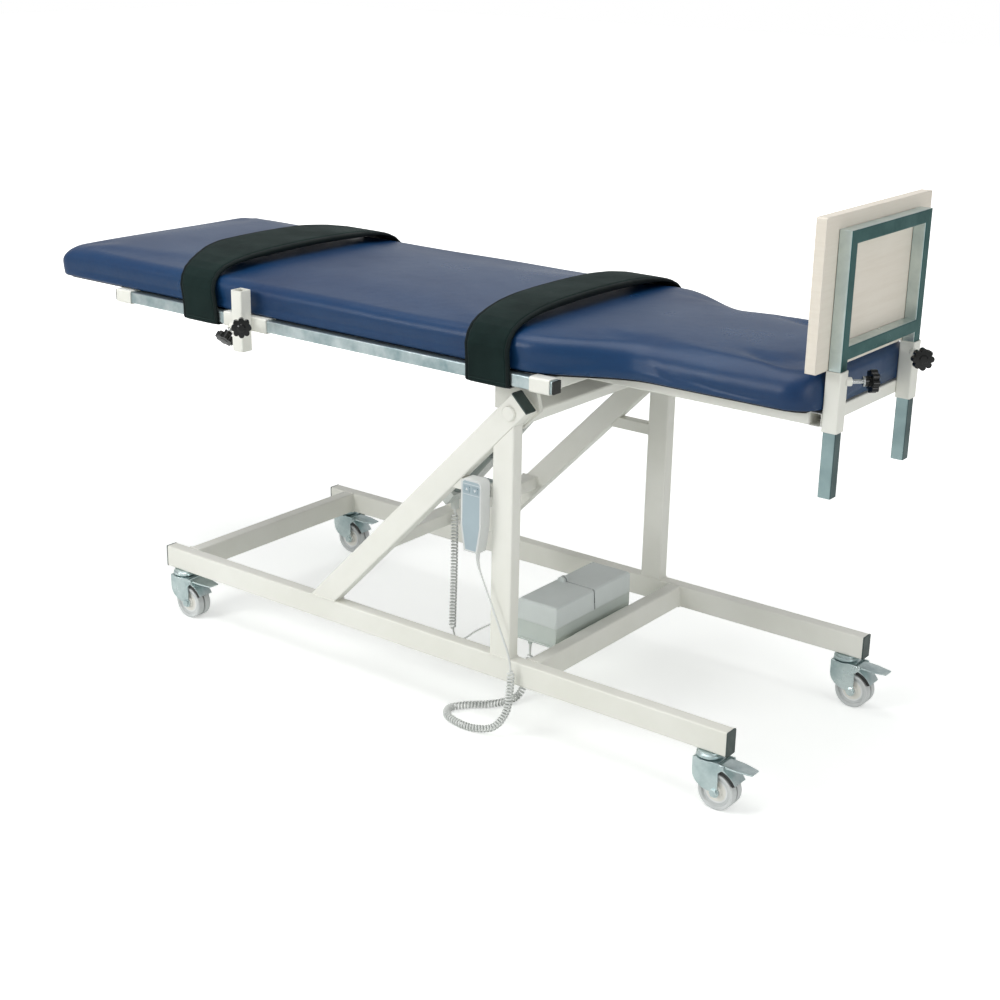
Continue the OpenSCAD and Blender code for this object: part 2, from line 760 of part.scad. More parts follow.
// Point at angle a and radius r round a caster's axle, in x and z
function round_axle(r, a) = [caster_trail + r * cos(a), axle_z + r * sin(a)];

// Brake pedal: pressed lever on its pin, over the curved shoe that meets both treads
module caster_pedal(p) stand() color(zinc) translate([p[0], p[1], 0]) difference() {
    shoe_r = wheel_d / 2 + shoe_gap;
    shoe_out = shoe_r + shoe_t;
    half = wheel_w / 2;
    union() {
        translate([pedal_x, 0, pedal_z]) {
            cross_rod(ear_r - over, wheel_w);
            intersection() {
                plate_xz(-half, wheel_w) polygon([[0, ear_r - over], [pedal_l, lever_t], [pedal_l, 0],
                                                  [0, ear_r - over - 2 * lever_t]]);
                linear_extrude(2 * ear_r) polygon([[-ear_r, -half], [pedal_l / 2, -half],
                    [pedal_l, -half * lever_tip_share], [pedal_l, half * lever_tip_share],
                    [pedal_l / 2, half], [-ear_r, half]]);
            }
        }
        plate_xz(-half, wheel_w) polygon(concat(
            [for (a = [shoe_low_a:shoe_step_a:shoe_high_a]) round_axle(shoe_r, a)], [[pedal_x, pedal_z]],
            [for (a = [shoe_web_a:-shoe_step_a:shoe_low_a]) round_axle(shoe_out, a)]));
    }
    translate([pedal_x, 0, pedal_z]) cross_rod(pedal_pin_r + run_gap, 2 * wheel_w);
}

// Side tubes of the trunk part
module trunk_tubes() stand() color(paint) both_sides()
    translate([frame_head_x + small_tube, trunk_y - small_tube / 2, frame_z])
        square_tube([knee_x - frame_head_x - small_tube, small_tube, small_tube], small_wall, 0);

// Side tubes of the leg part
module leg_tubes() stand() color(paint) both_sides()
    translate([knee_x + small_tube, leg_y - small_tube / 2, frame_z])
        square_tube([frame_foot_x - knee_x - 2 * small_tube, small_tube, small_tube], small_wall, 0);

// Small tube across the table between -y and +y, with its head side at x
module top_cross(x, y) translate([x, -y, frame_z])
    square_tube([small_tube, 2 * y, small_tube], small_wall, 1);

// Cross tubes of the table frame, from the head end to the foot end
module top_cross_tubes() stand() color(paint) {
    between_y = trunk_y - small_tube / 2;
    top_cross(frame_head_x, holder_in);
    top_cross(middle_tube_x, between_y);
    top_cross(lever_tube_x, between_y);
    top_cross(knee_x, holder_in);
    top_cross(frame_foot_x - small_tube, leg_frame_w / 2);
}

// Moves into the pivot tube's axes: a square tube set square to the diagonals
module along_pivot() translate([pivot_x, 0, pivot_z]) rotate([0, -diagonal_a, 0]) children();

// Square tube that turns on the pivot bolts, with a bored plug welded in each end
module pivot_tube() stand() color(paint) along_pivot() difference() {
    inner = tube_h - 2 * pivot_tube_wall;
    translate([-tube_h / 2, -pivot_tube_in, -tube_h / 2])
        round_bar([tube_h, 2 * pivot_tube_in, tube_h], pivot_tube_wall * tube_round_share, 1);
    cube([inner, 2 * (pivot_tube_in - pivot_plug_l), inner], center = true);
    cross_rod(pivot_bolt_r + run_gap, 2 * pivot_tube_in + 2 * over);
}

// Plates that hang the pivot tube under the trunk tubes
module pivot_plates() stand() color(paint) both_sides() plate_xz(pivot_plate_y, pivot_plate_t)
    translate([pivot_x, pivot_z]) difference() {
        polygon([[-plate_head_reach, frame_rise], [plate_foot_reach, frame_rise], [plate_round, 0], [0, -plate_round],
                 [-plate_round, -plate_drop], [-plate_head_reach, -plate_drop]]);
        rotate(diagonal_a) square(tube_h, center = true);
    }

// Lugs under the lever tube that take the actuator's upper pin
module lever_lugs() stand() color(paint)
    lug_pair(lever_pin_x, lever_pin_z, frame_z, small_tube + 2 * lug_t);

// Pin that slides in the rod's slotted eye
module lever_pin() stand() color(zinc) lug_pin(lever_pin_x, lever_pin_z);

// Four short sleeves that hold the side rails
module rail_holders() stand() color(paint) both_sides() for (x = [head_holder_x, knee_holder_x])
    translate([x, holder_in, frame_z])
        square_tube([holder_l, sleeve_side, sleeve_side], (sleeve_side - small_tube) / 2 - slide_gap, 0);

// Zinc-plated rail for accessories, on the +Y side
module side_rail() translate([side_rail_head_x, side_rail_y - small_tube / 2, rail_z - small_tube / 2])
    square_tube([side_rail_foot_x - side_rail_head_x, small_tube, small_tube], small_wall, 0);

module side_rail_front() stand() color(zinc) mirror([0, 1, 0]) side_rail();

module side_rail_rear() stand() color(zinc) side_rail();

// Black plugs in the four ends of the side rails
module rail_plugs() stand() color(black) both_sides()
    translate([0, side_rail_y - small_tube / 2, rail_z - small_tube / 2]) {
        translate([side_rail_head_x, 0, 0]) end_cap(small_tube, small_tube, small_wall);
        translate([side_rail_foot_x, 0, 0]) mirror([1, 0, 0]) end_cap(small_tube, small_tube, small_wall);
    }

// Eases from 0 to 1 with level ends
function ease(t) = let (u = max(0, min(1, t))) u * u * (3 - 2 * u);
// Depth of a quarter circle of radius r at distance d from its open end
function quarter(d, r) = d >= r ? 0 : r - sqrt(r * r - (r - d) * (r - d));

// Half width of the cushion at a place along the table
function cushion_half(x) =
    let (wide = cushion_trunk_w / 2, narrow = cushion_leg_w / 2,
         t = ease((x - waist_start_x) / (waist_end_x - waist_start_x)))
    wide + (narrow - wide) * t - quarter(x - cushion_head_x, head_corner)
        - quarter(cushion_foot_x - x, foot_corner);
// Height of the cushion's edge line at a place along the table
function cushion_top(x) =
    let (head = quarter(x - cushion_head_x, head_roll) / head_roll,
         foot = quarter(cushion_foot_x - x, foot_roll) / foot_roll)
    cushion_rim - head * (cushion_edge_h - head_lip) - foot * (cushion_edge_h - foot_lip);

// One half of the cushion's cross-section, from the middle underneath round to the top
function cushion_section(x) =
    let (w = cushion_half(x), top = cushion_top(x), h = top - cushion_z,
         r = min(cushion_round, h * round_share),
         wide = r + (head_round - cushion_round) * (1 - ease((x - cushion_head_x) / head_round_run)),
         inside = x > cushion_head_x + board_inset && x < cushion_foot_x - board_inset,
         recess = inside ? board_top + soft_gap - cushion_z : soft_gap,
         rise = cushion_crown * ease((x - cushion_head_x) / crown_run)
             * ease((cushion_foot_x - x) / crown_run),
         flat = w - draw_in - wide)
    concat([[0, cushion_z + recess], [w - board_inset + soft_gap, cushion_z + recess],
            [w - board_inset + 2 * soft_gap, cushion_z], [w - 2 * draw_in, cushion_z]],
           [for (s = side_shares) [w - s[0] * draw_in, cushion_z + s[1] * (h - r)]],
           [for (a = [0:22.5:90]) [flat + wide * cos(a), top - r + r * sin(a)]],
           [for (s = crown_shares) [flat * s, top + rise * (1 - s * s)]]);
// The whole ring: the half and its mirror image, without the two middle points again
function cushion_ring(x) =
    let (half = cushion_section(x), last = len(half) - 1)
    [for (p = half) [x, p[0], p[1]],
     for (i = [last - 1:-1:1]) [x, -half[i][0], half[i][1]]];

// Places of the rings: close together at both ends and round the waist
cushion_stations = concat(
    [for (a = [0:18:90]) cushion_head_x + head_roll * (1 - cos(a)) * board_inset / head_roll],
    [cushion_head_x + board_inset + soft_gap],
    [for (a = [30:15:90]) cushion_head_x + board_inset + head_roll * (1 - cos(a))],
    [for (i = [1:4]) cushion_head_x + (waist_start_x - cushion_head_x) * i / 5],
    [for (i = [0:9]) waist_start_x + (waist_end_x - waist_start_x) * i / 9],
    [cushion_foot_x - 3 * foot_corner],
    [for (a = [90:-22.5:22.5]) cushion_foot_x - board_inset - foot_corner * (1 - cos(a))],
    [cushion_foot_x - board_inset - soft_gap],
    [for (a = [90:-18:0]) cushion_foot_x - board_inset * (1 - cos(a))]);

// Solid through a list of rings with as many points each, closed by flat ends
module skin(rings) {
    n = len(rings[0]);
    rows = len(rings);
    faces = concat(
        [for (i = [0:rows - 2], j = [0:n - 1]) let (k = (j + 1) % n) [i * n + j, i * n + k, (i + 1) * n + k]],
        [for (i = [0:rows - 2], j = [0:n - 1]) let (k = (j + 1) % n)
            [i * n + j, (i + 1) * n + k, (i + 1) * n + j]],
        [for (j = [1:n - 2]) [0, j + 1, j]],
        [for (j = [1:n - 2]) let (b = (rows - 1) * n) [b, b + j, b + j + 1]]);
    polyhedron(points = [for (ring = rings) each ring], faces = faces);
}

// Wooden board inside the cushion's lower rim, resting on the frame
module top_board() stand() color(wood) {
    edge = [for (x = cushion_stations)
        if (x > cushion_head_x + board_inset && x < cushion_foot_x - board_inset)
            [x, cushion_half(x) - board_inset]];
    translate([0, 0, frame_top]) linear_extrude(board_t) polygon(concat(
        edge, [for (i = [len(edge) - 1:-1:0]) [edge[i][0], -edge[i][1]]]));
}

// Upholstered cushion: crowned top, drawn-in sides, rolled head end
module cushion() stand() color(vinyl) skin([for (x = cushion_stations) cushion_ring(x)]);

// Middle line of half a strap in y and z: from the middle of the table over the
// shoulder, down outside the side rail, under it and up again inside
strap_half = concat(
    [for (s = strap_shares) [s[0] * strap_y, cushion_rim + s[1] * strap_lift]],
    [[strap_y, rail_z + small_tube / 2], [strap_y, rail_z]],
    [for (a = [0:30:90]) [strap_y - strap_turn + strap_turn * cos(a),
        rail_z - small_tube / 2 - soft_gap - strap_t / 2 + strap_turn - strap_turn * sin(a)]],
    [for (a = [90:-30:0]) [2 * side_rail_y - strap_y + strap_turn - strap_turn * cos(a),
        rail_z - small_tube / 2 - soft_gap - strap_t / 2 + strap_turn - strap_turn * sin(a)]],
    [[2 * side_rail_y - strap_y, rail_z + strap_end]]);
strap_line = concat(
    [for (i = [len(strap_half) - 1:-1:1]) [-strap_half[i][0], strap_half[i][1]]], strap_half);

// Direction square to a strap's middle line at point i
function strap_normal(i) =
    let (a = strap_line[max(0, i - 1)], b = strap_line[min(len(strap_line) - 1, i + 1)], d = b - a)
    [-d[1], d[0]] / norm(d);
// How much of its lean a strap has at point i: most of it down the sides, the rest over the top
function lean_share(p) =
    side_lean_share * ease((p[1] - rail_z) / (cushion_rim + strap_lift - rail_z))
        + (1 - side_lean_share) * ease(pad_run - abs(p[0]) / strap_y * pad_run);
// Ring of a strap at point i: thin edges and a full middle
function strap_ring(i, x_rail, pad_w, lean_x) =
    let (p = strap_line[i], n = strap_normal(i), x = x_rail - lean_x * lean_share(p),
         w = strap_side_w + (pad_w - strap_side_w) * ease(pad_run - abs(p[0]) / strap_y * pad_run),
         lean = [-w / 2, strap_t - w / 2, w / 2 - strap_t, w / 2, w / 2 - strap_t, strap_t - w / 2],
         up = [0, strap_t / 2, strap_t / 2, 0, -strap_t / 2, -strap_t / 2])
    [for (k = [0:5]) [x + lean[k], p[0] + up[k] * n[0], p[1] + up[k] * n[1]]];

module strap(x, pad_w, lean_x) skin([for (i = [0:len(strap_line) - 1]) strap_ring(i, x, pad_w, lean_x)]);

// Padded strap over the chest
module chest_strap() stand() color(strap_green) strap(chest_strap_x, chest_pad_w, chest_lean);

// Padded strap over the thighs
module thigh_strap() stand() color(strap_green) strap(thigh_strap_x, thigh_pad_w, thigh_lean);

// Weld nut on a sleeve's corner, from the sleeve's axis along local +Z
module weld_nut(side) translate([0, 0, side * corner_share - nut_l / 2]) cylinder(r = nut_r, h = nut_l);

// Hole for a knob's stem, from the sleeve's axis along local +Z
module stem_hole() cylinder(r = stem_r + run_gap, h = 3 * knob_r);

// Star knob along local +Z, with the sleeve's axis at the origin
module star_knob(reach) {
    back = reach - knob_t / 2;
    translate([0, 0, small_tube * corner_share + soft_gap])
        cylinder(r = stem_r, h = back - small_tube * corner_share);
    translate([0, 0, back - hub_l]) cylinder(r = hub_r, h = hub_l + over);
    translate([0, 0, back]) linear_extrude(knob_t) {
        circle(knob_r - lobe_r);
        for (i = [0:knob_lobes - 1]) rotate(i * 360 / knob_lobes) translate([knob_r - lobe_r, 0])
            circle(lobe_r);
    }
}

// Inner corner of the foot sleeve at +Y, for its nut and knob
module at_foot_corner() translate([foot_leg_x, foot_leg_y, foot_knob_z]) rotate([90, 0, 45]) children();

// Sleeves on the foot cross tube that the footboard's legs slide in
module foot_sleeves() stand() color(paint) both_sides() {
    bore = small_tube + 2 * slide_gap;
    difference() {
        union() {
            translate([foot_leg_x - sleeve_side / 2, foot_leg_y - sleeve_side / 2, foot_sleeve_z])
                round_bar([sleeve_side, sleeve_side, foot_sleeve_l], sleeve_round, 2);
            at_foot_corner() weld_nut(sleeve_side);
        }
        translate([foot_leg_x - bore / 2, foot_leg_y - bore / 2, foot_sleeve_z - over])
            cube([bore, bore, foot_sleeve_l + 2 * over]);
        at_foot_corner() stem_hole();
    }
}

// Zinc-plated footboard frame: two legs, a low bar and a top bar
module footboard_frame() stand() color(zinc) {
    leg_x = foot_leg_x - small_tube / 2;
    bar_l = foot_leg_gap - small_tube;
    foot_leg_z = foot_top_z - foot_leg_l;
    difference() {
        union() {
            both_sides() translate([leg_x, foot_leg_y - small_tube / 2, foot_leg_z])
                round_bar([small_tube, small_tube, foot_leg_l], small_wall * tube_round_share, 2);
            for (z = [low_bar_z, foot_top_z - small_tube]) translate([leg_x, -bar_l / 2 - weld_in, z])
                round_bar([small_tube, bar_l + 2 * weld_in, small_tube], small_wall * tube_round_share, 1);
        }
        both_sides() translate([leg_x + small_wall, foot_leg_y - small_tube / 2 + small_wall,
                                foot_leg_z + small_wall])
            cube([small_tube - 2 * small_wall, small_tube - 2 * small_wall, foot_leg_l - 2 * small_wall]);
    }
}

// Board that the feet rest on
module footboard() stand() color(cream) translate([board_x, -board_w / 2, footboard_z])
    rotate([90, 0, 90]) linear_extrude(footboard_t) round_rect(board_w, board_h, board_corner);

// Knobs that lock the footboard's legs
module foot_knob_front() stand() color(black) mirror([0, 1, 0]) at_foot_corner() star_knob(foot_knob_reach);

module foot_knob_rear() stand() color(black) at_foot_corner() star_knob(foot_knob_reach);

// Lower front corner of the clamp's sleeve, for its nut and knob
module at_clamp_corner() translate([clamp_knob_x, -side_rail_y, rail_z]) rotate([135, 0, 0]) children();

// Front foot-side corner of the accessory socket, for its nut and knob
module at_socket_corner() translate([socket_x, socket_y, rail_z + socket_knob_rise])
    rotate([90, 0, 45]) children();

// Clamp that slides on the side rail: sleeve and upright accessory socket, welded
module rail_clamp() stand() color(paint) difference() {
    rail_bore = small_tube + 2 * slide_gap;
    union() {
        translate([clamp_x, -side_rail_y - clamp_side / 2, rail_z - clamp_side / 2])
            round_bar([clamp_l, clamp_side, clamp_side], sleeve_round, 0);
        translate([socket_x - socket_side / 2, socket_y - socket_side / 2, socket_z - socket_l / 2])
            round_bar([socket_side, socket_side, socket_l], sleeve_round, 2);
        at_clamp_corner() weld_nut(clamp_side);
        at_socket_corner() weld_nut(socket_side);
    }
    translate([clamp_x - over, -side_rail_y - rail_bore / 2, rail_z - rail_bore / 2])
        cube([clamp_l + 2 * over, rail_bore, rail_bore]);
    translate([socket_x - socket_bore / 2, socket_y - socket_bore / 2, socket_z - socket_l / 2 - over])
        cube([socket_bore, socket_bore, socket_l + 2 * over]);
    at_clamp_corner() stem_hole();
    at_socket_corner() stem_hole();
}

// Knob that locks the clamp on the rail
module clamp_knob_rail() stand() color(black) at_clamp_corner() star_knob(clamp_knob_reach);

// Knob that locks an accessory in the socket
module clamp_knob_socket() stand() color(black) at_socket_corner() star_knob(clamp_knob_reach);

// Gear housing with the lower eye and the motor cord's gland
module actuator_housing() stand() color(box_grey) difference() {
    union() {
        along_actuator() {
            plate_xz(-tongue_t / 2, tongue_t) {
                circle(pin_r + lug_wall);
                translate([0, -pin_r - lug_wall]) square([housing_s + over, 2 * (pin_r + lug_wall)]);
            }
            translate([housing_s, motor_y - motor_r - housing_wall, -housing_h / 2])
                cube([housing_l, motor_r + housing_wall - motor_y + housing_h / 2, housing_h]);
        }
        translate(motor_gland) cylinder(r = motor_gland_r, h = motor_gland_l);
    }
    along_actuator() cross_rod(pin_r + run_gap, lug_gap);
    translate([motor_gland[0], motor_gland[1], motor_gland[2] - over])
        cylinder(r = cord_r + 2 * soft_gap, h = motor_gland_l / 2 + over);
}

// Motor beside the outer tube
module actuator_motor() stand() color(cap_grey) along_actuator()
    translate([housing_s + housing_l, motor_y, 0]) rotate([0, 90, 0]) {
        cylinder(r = motor_r, h = motor_l);
        cylinder(r = motor_r - housing_wall, h = motor_l + housing_wall);
    }

// Outer tube that the rod slides out of
module actuator_tube() stand() color(light_grey) along_actuator() rotate([0, 90, 0]) difference() {
    translate([0, 0, tube_s]) cylinder(r = actuator_r, h = tube_end_s - tube_s);
    translate([0, 0, tube_s - over]) cylinder(r = rod_r + cavity_gap, h = tube_end_s - tube_s - wiper_l);
    translate([0, 0, tube_s]) cylinder(r = rod_r + run_gap, h = tube_end_s);
}

// Rod with the slotted eye that lets the upper pin wander in mid-travel
module actuator_rod() stand() color(zinc) along_actuator() {
    eye_r = pin_r + eye_wall;
    slot_r = pin_r + fit_gap;
    translate([rod_start_s, 0, 0]) rotate([0, 90, 0])
        cylinder(r = rod_r, h = actuator_l - rod_start_s - pin_r - over);
    plate_xz(-tongue_t / 2, tongue_t) translate([actuator_l, 0]) difference() {
        translate([-eye_r, -eye_r]) round_rect(wander_along + 2 * eye_r, wander_across + 2 * eye_r, eye_r);
        translate([-slot_r, -slot_r])
            round_rect(wander_along + 2 * slot_r, wander_across + 2 * slot_r, slot_r);
    }
}

// Outline of the handset in x and z, drawn in all round: round at the top, tapered below
module handset_outline(in) translate([handset_x, handset_z]) {
    half = handset_w / 2 - in;
    low = handset_low_w / 2 - in;
    translate([-half, handset_taper])
        round_rect(2 * half, handset_h - handset_taper - in, handset_round - in);
    polygon([[-half, handset_taper + handset_round], [-half, handset_taper], [-low, in], [low, in],
             [half, handset_taper], [half, handset_taper + handset_round]]);
}

// Handset body: round at the top, tapered to its gland, hollow behind the keys
module handset_shell() stand() color(light_grey) difference() {
    gland_x = handset_x + cord_offset;
    gland_y = handset_back - handset_t / 2;
    union() {
        plate_xz(handset_back - handset_t, handset_t) handset_outline(0);
        translate([gland_x, gland_y, handset_gland_z])
            cylinder(r1 = handset_gland_tip_r, r2 = gland_r, h = handset_z - handset_gland_z + over);
    }
    translate([gland_x, gland_y, handset_gland_z - over]) cylinder(r = cord_r + soft_gap, h = gland_bore_l);
    plate_xz(handset_back - handset_t - over, face_t + over) handset_outline(face_margin);
    for (x = key_places) plate_xz(handset_back - handset_t, face_t + 2 * key_depth)
        translate([x - key_w / 2 - key_wall, key_z - key_wall])
            square([key_w + 2 * key_wall, key_h + 2 * key_wall]);
}

// Face plate let into the front of the handset, with a hole for each key
module handset_face() stand() color(face_blue) plate_xz(handset_back - handset_t, face_t - run_gap)
    difference() {
        handset_outline(face_margin + run_gap);
        for (x = key_places) translate([x - key_w / 2 - fit_gap, key_z - fit_gap])
            square([key_w + 2 * fit_gap, key_h + 2 * fit_gap]);
    }

// Key of the handset: a cap through the face and a wider foot behind it
module handset_key(x) {
    front = handset_back - handset_t;
    plate_xz(front - key_rise, key_rise + face_t + key_depth) translate([x - key_w / 2, key_z])
        round_rect(key_w, key_h, key_wall);
    plate_xz(front + face_t + run_gap, key_depth) translate([x - key_w / 2 - key_foot, key_z - key_foot])
        square([key_w + 2 * key_foot, key_h + 2 * key_foot]);
}

module handset_button_up() stand() color(face_blue) handset_key(key_places[0]);

module handset_button_down() stand() color(face_blue) handset_key(key_places[1]);

// Bent strip on the handset's back that hangs over the tie tube
module handset_hook() stand() color(zinc) {
    tie_top = tie_z + small_tube + fit_gap;
    tie_back = -rail_y + small_tube / 2 + fit_gap;
    translate([handset_x - hook_w / 2, 0, 0]) rotate([90, 0, 90]) linear_extrude(hook_w) {
        translate([handset_back, tie_z]) square([hook_t, tie_top + hook_t - tie_z]);
        translate([handset_back, tie_top]) square([tie_back + hook_t - handset_back, hook_t]);
        translate([tie_back, tie_z + small_tube / 2])
            square([hook_t, tie_top + hook_t - tie_z - small_tube / 2]);
    }
}

// Point of a Catmull-Rom curve between p1 and p2
function bend(p0, p1, p2, p3, t) =
    0.5 * (2 * p1 + (p2 - p0) * t + (2 * p0 - 5 * p1 + 4 * p2 - p3) * t * t
        + (3 * p1 - p0 - 3 * p2 + p3) * t * t * t);
// Fine points along a route
function fine_route(route) =
    let (last = len(route) - 1)
    [for (i = [0:last - 1], k = [0:7])
        bend(route[max(0, i - 1)], route[i], route[i + 1], route[min(last, i + 2)], k / 8),
     route[last]];
// Length from the start at each point
function run_lengths(points) =
    [for (i = 0, s = 0; i < len(points); i = i + 1,
          s = s + (i < len(points) ? norm(points[i] - points[i - 1]) : 0)) s];
function unit(v) = v / norm(v);

// Rings of a curly cord: straight until `from`, `curls` turns until `to`, straight again
function curly_rings(route, from, to_end, curls) =
    let (points = fine_route(route), runs = run_lengths(points), total = runs[len(runs) - 1],
         tables = [for (axis = [0:2]) [for (i = [0:len(points) - 1]) [runs[i], points[i][axis]]]],
         to = total - to_end, steps = 8 * curls, lead = cord_ring * cord_d,
         leads = max(2, round(from / lead)), tails = max(2, round(to_end / lead)),
         stations = concat([for (i = [0:leads - 1]) from * i / leads],
                           [for (i = [0:steps]) from + (to - from) * i / steps],
                           [for (i = [1:tails]) to + to_end * i / tails]),
         path = [for (s = stations) [for (axis = [0:2]) lookup(s, tables[axis])]],
         heading = [for (s = stations) unit([for (axis = [0:2])
             lookup(min(total, s + cord_d), tables[axis]) - lookup(max(0, s - cord_d), tables[axis])])],
         first = unit(cross(heading[0], [0, 1, 0])),
         sides = [for (i = 0, n = first; i < len(stations); i = i + 1,
             n = i < len(stations) ? unit(n - (n * heading[i]) * heading[i]) : n) n],
         middle = [for (i = [0:len(stations) - 1])
             let (turn = max(0, min(curls, curls * (stations[i] - from) / (to - from))),
                  swell = (curl_d - cord_d) / 2 * ease(min(turn, curls - turn) / curl_start))
             path[i] + swell * (sides[i] * cos(360 * turn) + cross(heading[i], sides[i]) * sin(360 * turn))])
    [for (i = [0:len(stations) - 1])
        let (turn = max(0, min(curls, curls * (stations[i] - from) / (to - from))),
             ahead = i == 0 || i == len(stations) - 1 ? heading[i] : unit(middle[i + 1] - middle[i - 1]),
             out = sides[i] * cos(360 * turn) + cross(heading[i], sides[i]) * sin(360 * turn),
             e1 = unit(out - (out * ahead) * ahead), e2 = cross(ahead, e1))
        [for (k = [0:5]) middle[i] + cord_r * (cos(60 * k) * e1 + sin(60 * k) * e2)]];

// Middle of a ring
function ring_middle(ring) = (ring[0] + ring[2] + ring[4]) / 3;
// Least gap between two parts of a cord that lie three quarters of a curl apart or more
function least_gap(rings) =
    let (m = [for (ring = rings) ring_middle(ring)], n = len(m))
    min([for (i = [0:n - 7], j = [i + 6:n - 1]) norm(m[i] - m[j])]) - cord_d;

handset_rings = curly_rings(handset_route, handset_curl_start, handset_tail, handset_curls);
motor_rings = curly_rings(motor_route, motor_curl_start, motor_tail, motor_curls);
// Length of a route's curve
function route_length(route) = let (runs = run_lengths(fine_route(route))) runs[len(runs) - 1];
union() {
    echo(handset_cord_least_gap = least_gap(handset_rings), motor_cord_least_gap = least_gap(motor_rings));
    echo(handset_cord_length = route_length(handset_route), motor_cord_length = route_length(motor_route));
}

// Curly cord from the handset to the control box, in a loop on the floor
module handset_cord() stand() color(light_grey) skin(handset_rings);

// Curly cord from the motor to the control box
module motor_cord() stand() color(light_grey) skin(motor_rings);

module caster_fork_hf() caster_fork(caster_places[0]);
module caster_fork_hr() caster_fork(caster_places[1]);
module caster_fork_ff() caster_fork(caster_places[2]);
module caster_fork_fr() caster_fork(caster_places[3]);
module caster_wheels_hf() caster_wheels(caster_places[0]);
module caster_wheels_hr() caster_wheels(caster_places[1]);
module caster_wheels_ff() caster_wheels(caster_places[2]);
module caster_wheels_fr() caster_wheels(caster_places[3]);
module caster_pedal_hf() caster_pedal(caster_places[0]);
module caster_pedal_hr() caster_pedal(caster_places[1]);
module caster_pedal_ff() caster_pedal(caster_places[2]);
module caster_pedal_fr() caster_pedal(caster_places[3]);

base_rails();
base_cross_tubes();
posts();
diagonals();
post_ties();
low_cross_tube();
base_caps();
pivot_bolts();
actuator_lugs();
actuator_low_pin();
control_tray();
control_base();
control_lid();
caster_tops();
trunk_tubes();
leg_tubes();
top_cross_tubes();
pivot_tube();
pivot_plates();
lever_lugs();
lever_pin();
rail_holders();
side_rail_front();
side_rail_rear();
rail_plugs();
top_board();
cushion();
chest_strap();
thigh_strap();
foot_sleeves();
footboard_frame();
footboard();
foot_knob_front();
foot_knob_rear();
rail_clamp();
clamp_knob_rail();
clamp_knob_socket();
actuator_housing();
actuator_motor();
actuator_tube();
actuator_rod();
handset_shell();
handset_face();
handset_button_up();
handset_button_down();
handset_hook();
handset_cord();
motor_cord();
caster_fork_hf();
caster_wheels_hf();
caster_pedal_hf();
caster_fork_hr();
caster_wheels_hr();
caster_pedal_hr();
caster_fork_ff();
caster_wheels_ff();
caster_pedal_ff();
caster_fork_fr();
caster_wheels_fr();
caster_pedal_fr();
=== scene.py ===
"""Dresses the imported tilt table: a padded top on a wheeled tube frame, tilted by one actuator.

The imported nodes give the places. Base coordinates start at the head end of the base rails, on the
middle plane, at the rails' underside: `base_point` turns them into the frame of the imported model.
"""
import math
import bpy
import numpy as np
from mathutils import Matrix, Vector


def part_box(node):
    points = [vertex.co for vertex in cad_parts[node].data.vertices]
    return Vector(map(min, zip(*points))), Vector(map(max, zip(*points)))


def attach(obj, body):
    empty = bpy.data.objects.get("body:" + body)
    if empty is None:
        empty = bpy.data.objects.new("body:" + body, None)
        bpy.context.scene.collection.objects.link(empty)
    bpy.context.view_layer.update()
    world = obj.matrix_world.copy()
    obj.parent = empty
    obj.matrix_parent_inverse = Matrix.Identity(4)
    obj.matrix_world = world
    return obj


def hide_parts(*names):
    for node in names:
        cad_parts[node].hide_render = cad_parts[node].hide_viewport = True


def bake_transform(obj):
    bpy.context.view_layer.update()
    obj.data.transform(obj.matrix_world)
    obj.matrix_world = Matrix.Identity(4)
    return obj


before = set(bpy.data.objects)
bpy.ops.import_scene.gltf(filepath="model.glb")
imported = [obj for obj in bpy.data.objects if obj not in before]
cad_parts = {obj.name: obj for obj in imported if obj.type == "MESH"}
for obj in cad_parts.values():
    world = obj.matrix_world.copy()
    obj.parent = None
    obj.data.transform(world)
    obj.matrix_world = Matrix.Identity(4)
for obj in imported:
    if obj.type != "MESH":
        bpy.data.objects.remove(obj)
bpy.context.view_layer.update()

# The photographer's place
# The camera stood about four metres off, at the foot end and to the right, a little above the top.
# Its place and turns come from the vanishing lines of the base frame, its lens from their spread.
rails_low, rails_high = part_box("base_rails")
base_start = Vector((rails_low.x, (rails_low.y + rails_high.y) / 2, rails_low.z))
CAMERA_BACK = (2.8332, -2.7612, 1.4546)
CAMERA_TURN = math.radians(37.07)
CAMERA_LIFT = math.radians(19.14)
CAMERA_ROLL = math.radians(1.11)
CAMERA_LENS = 60.64
CAMERA_SENSOR = 36.0
CAMERA_REACH = 50.0


def base_point(x, y, z):
    """A place in base coordinates, in metres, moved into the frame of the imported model."""
    return base_start + Vector((x, y, z))


def camera_matrix():
    """Looks along the turn and lift: back axis from target to camera, right axis level, then rolled."""
    back = Vector((math.sin(CAMERA_TURN) * math.cos(CAMERA_LIFT),
                   -math.cos(CAMERA_TURN) * math.cos(CAMERA_LIFT),
                   math.sin(CAMERA_LIFT)))
    right = (-back).cross(Vector((0, 0, 1))).normalized()
    up = right.cross(-back)
    rolled_right = right * math.cos(CAMERA_ROLL) + up * math.sin(CAMERA_ROLL)
    rolled_up = up * math.cos(CAMERA_ROLL) - right * math.sin(CAMERA_ROLL)
    turn = Matrix((rolled_right, rolled_up, back)).transposed().to_4x4()
    return Matrix.Translation(base_point(*CAMERA_BACK)) @ turn


camera_data = bpy.data.cameras.new("camera")
camera_data.lens = CAMERA_LENS
camera_data.sensor_width = CAMERA_SENSOR
camera_data.clip_end = CAMERA_REACH
camera_data.dof.use_dof = False
camera = bpy.data.objects.new("camera", camera_data)
camera.matrix_world = camera_matrix()
bpy.context.scene.collection.objects.link(camera)
bpy.context.scene.camera = camera
bpy.context.scene.view_settings.view_transform = "Standard"

